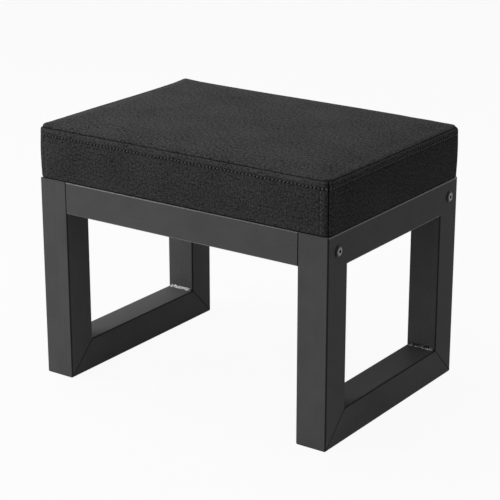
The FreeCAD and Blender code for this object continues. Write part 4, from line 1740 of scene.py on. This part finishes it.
class RailsAndFixings:
    """The two rails, their end plates and the seat tabs, with the screws, sleeves and nuts."""

    def build(self) -> None:
        """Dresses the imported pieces."""
        plate = PowderCoat(Run.HEIGHT, slick_edges=False)
        dress_packed({
            "front_rail": PowderCoat(Run.LENGTH),
            "rear_rail": PowderCoat(Run.LENGTH),
            "front_rail_end_plates": plate,
            "rear_rail_end_plates": plate,
            "seat_tabs": PowderCoat(Run.LENGTH),
            "frame_screws": BlackOxide(Run.LENGTH),
            "seat_screws": BlackOxide(Run.HEIGHT),
            "screw_sleeves": ZincPlate(),
            "weld_nuts": ZincPlate(),
        })


@dataclass(frozen=True)
class Lamp:
    """A soft square lamp that faces the middle of the stool."""

    name: str
    place: Point
    level: float  # how bright a white card at the stool, facing the lamp, is lit by it
    size: float = 1.2
    aim: Point = (0, 0, 0.16)

    def hang(self) -> None:
        """Hangs the lamp in its place."""
        data = bpy.data.lights.new(self.name, "AREA")
        data.size = self.size
        way = Vector(self.aim) - Vector(self.place)
        data.energy = self.level * math.pi**2 * way.length_squared
        made = bpy.data.objects.new(self.name, data)
        made.location = self.place
        made.rotation_euler = way.to_track_quat("-Z", "Y").to_euler()
        bpy.context.scene.collection.objects.link(made)


@dataclass
class Studio:
    """A pale floor, soft lamps, a white surround and the camera at the photograph's angle."""

    lamps: tuple[Lamp, ...] = (
        Lamp("window_left", (-1.58, -1.33, 0.91), 0.45),
        Lamp("softbox_above", (-0.74, -0.13, 2.23), 0.52),
    )
    camera_place: Point = (1.1258, -1.6051, 0.8243)
    turn: float = math.radians(35.01)
    tilt: float = math.radians(18.74)
    focal: float = 122.4  # in millimetres, like the sensor
    sensor: float = 36
    sight: float = 50
    floor_size: float = 14.0
    floor_drop: float = 0.2 * MM
    surround: float = 0.22

    def floor(self) -> None:
        """Lays the floor a hair under the feet."""
        sheet = Sheet()
        half = self.floor_size / 2
        places = even(-half, half, half)
        sheet.join([[sheet.add(Vector((x, y, -self.floor_drop))) for x in places] for y in places])
        piece = sheet.piece("studio_floor")
        RolledPaint().dress(piece)

    def surround_light(self) -> None:
        """Sets the white surround, dimmer as a lamp than it looks."""
        world = bpy.data.worlds.new("white_surround")
        world.use_nodes = True
        tree = world.node_tree
        level = add_node(tree, "MapRange", {TO: (self.surround, 1.0), "Value": seen(tree)})
        feed(tree, tree.nodes["Background"], {"Color": linear("#ffffff"), "Strength": level})
        bpy.context.scene.world = world

    def camera(self) -> None:
        """Sets the camera at the photograph's angle."""
        data = bpy.data.cameras.new("photo_angle")
        data.lens = self.focal
        data.sensor_width = self.sensor
        data.clip_end = self.sight
        made = bpy.data.objects.new("photo_angle", data)
        made.location = self.camera_place
        made.rotation_euler = (math.pi / 2 - self.tilt, 0, self.turn)
        bpy.context.scene.collection.objects.link(made)
        bpy.context.scene.camera = made

    def build(self) -> None:
        """Sets up the whole studio."""
        self.floor()
        self.surround_light()
        for lamp in self.lamps:
            lamp.hang()
        self.camera()
        bpy.context.scene.view_settings.view_transform = "Standard"
        LOG.info("studio is ready")


def main() -> None:
    """Builds the stool's parts in order, then the studio."""
    logging.basicConfig(level=logging.INFO, format="%(name)s: %(message)s")
    for hand in ("left", "right"):
        EndFrame(hand).build()
    RailsAndFixings().build()
    Seat().build()
    Studio().build()


if __name__ == "__main__":
    main()
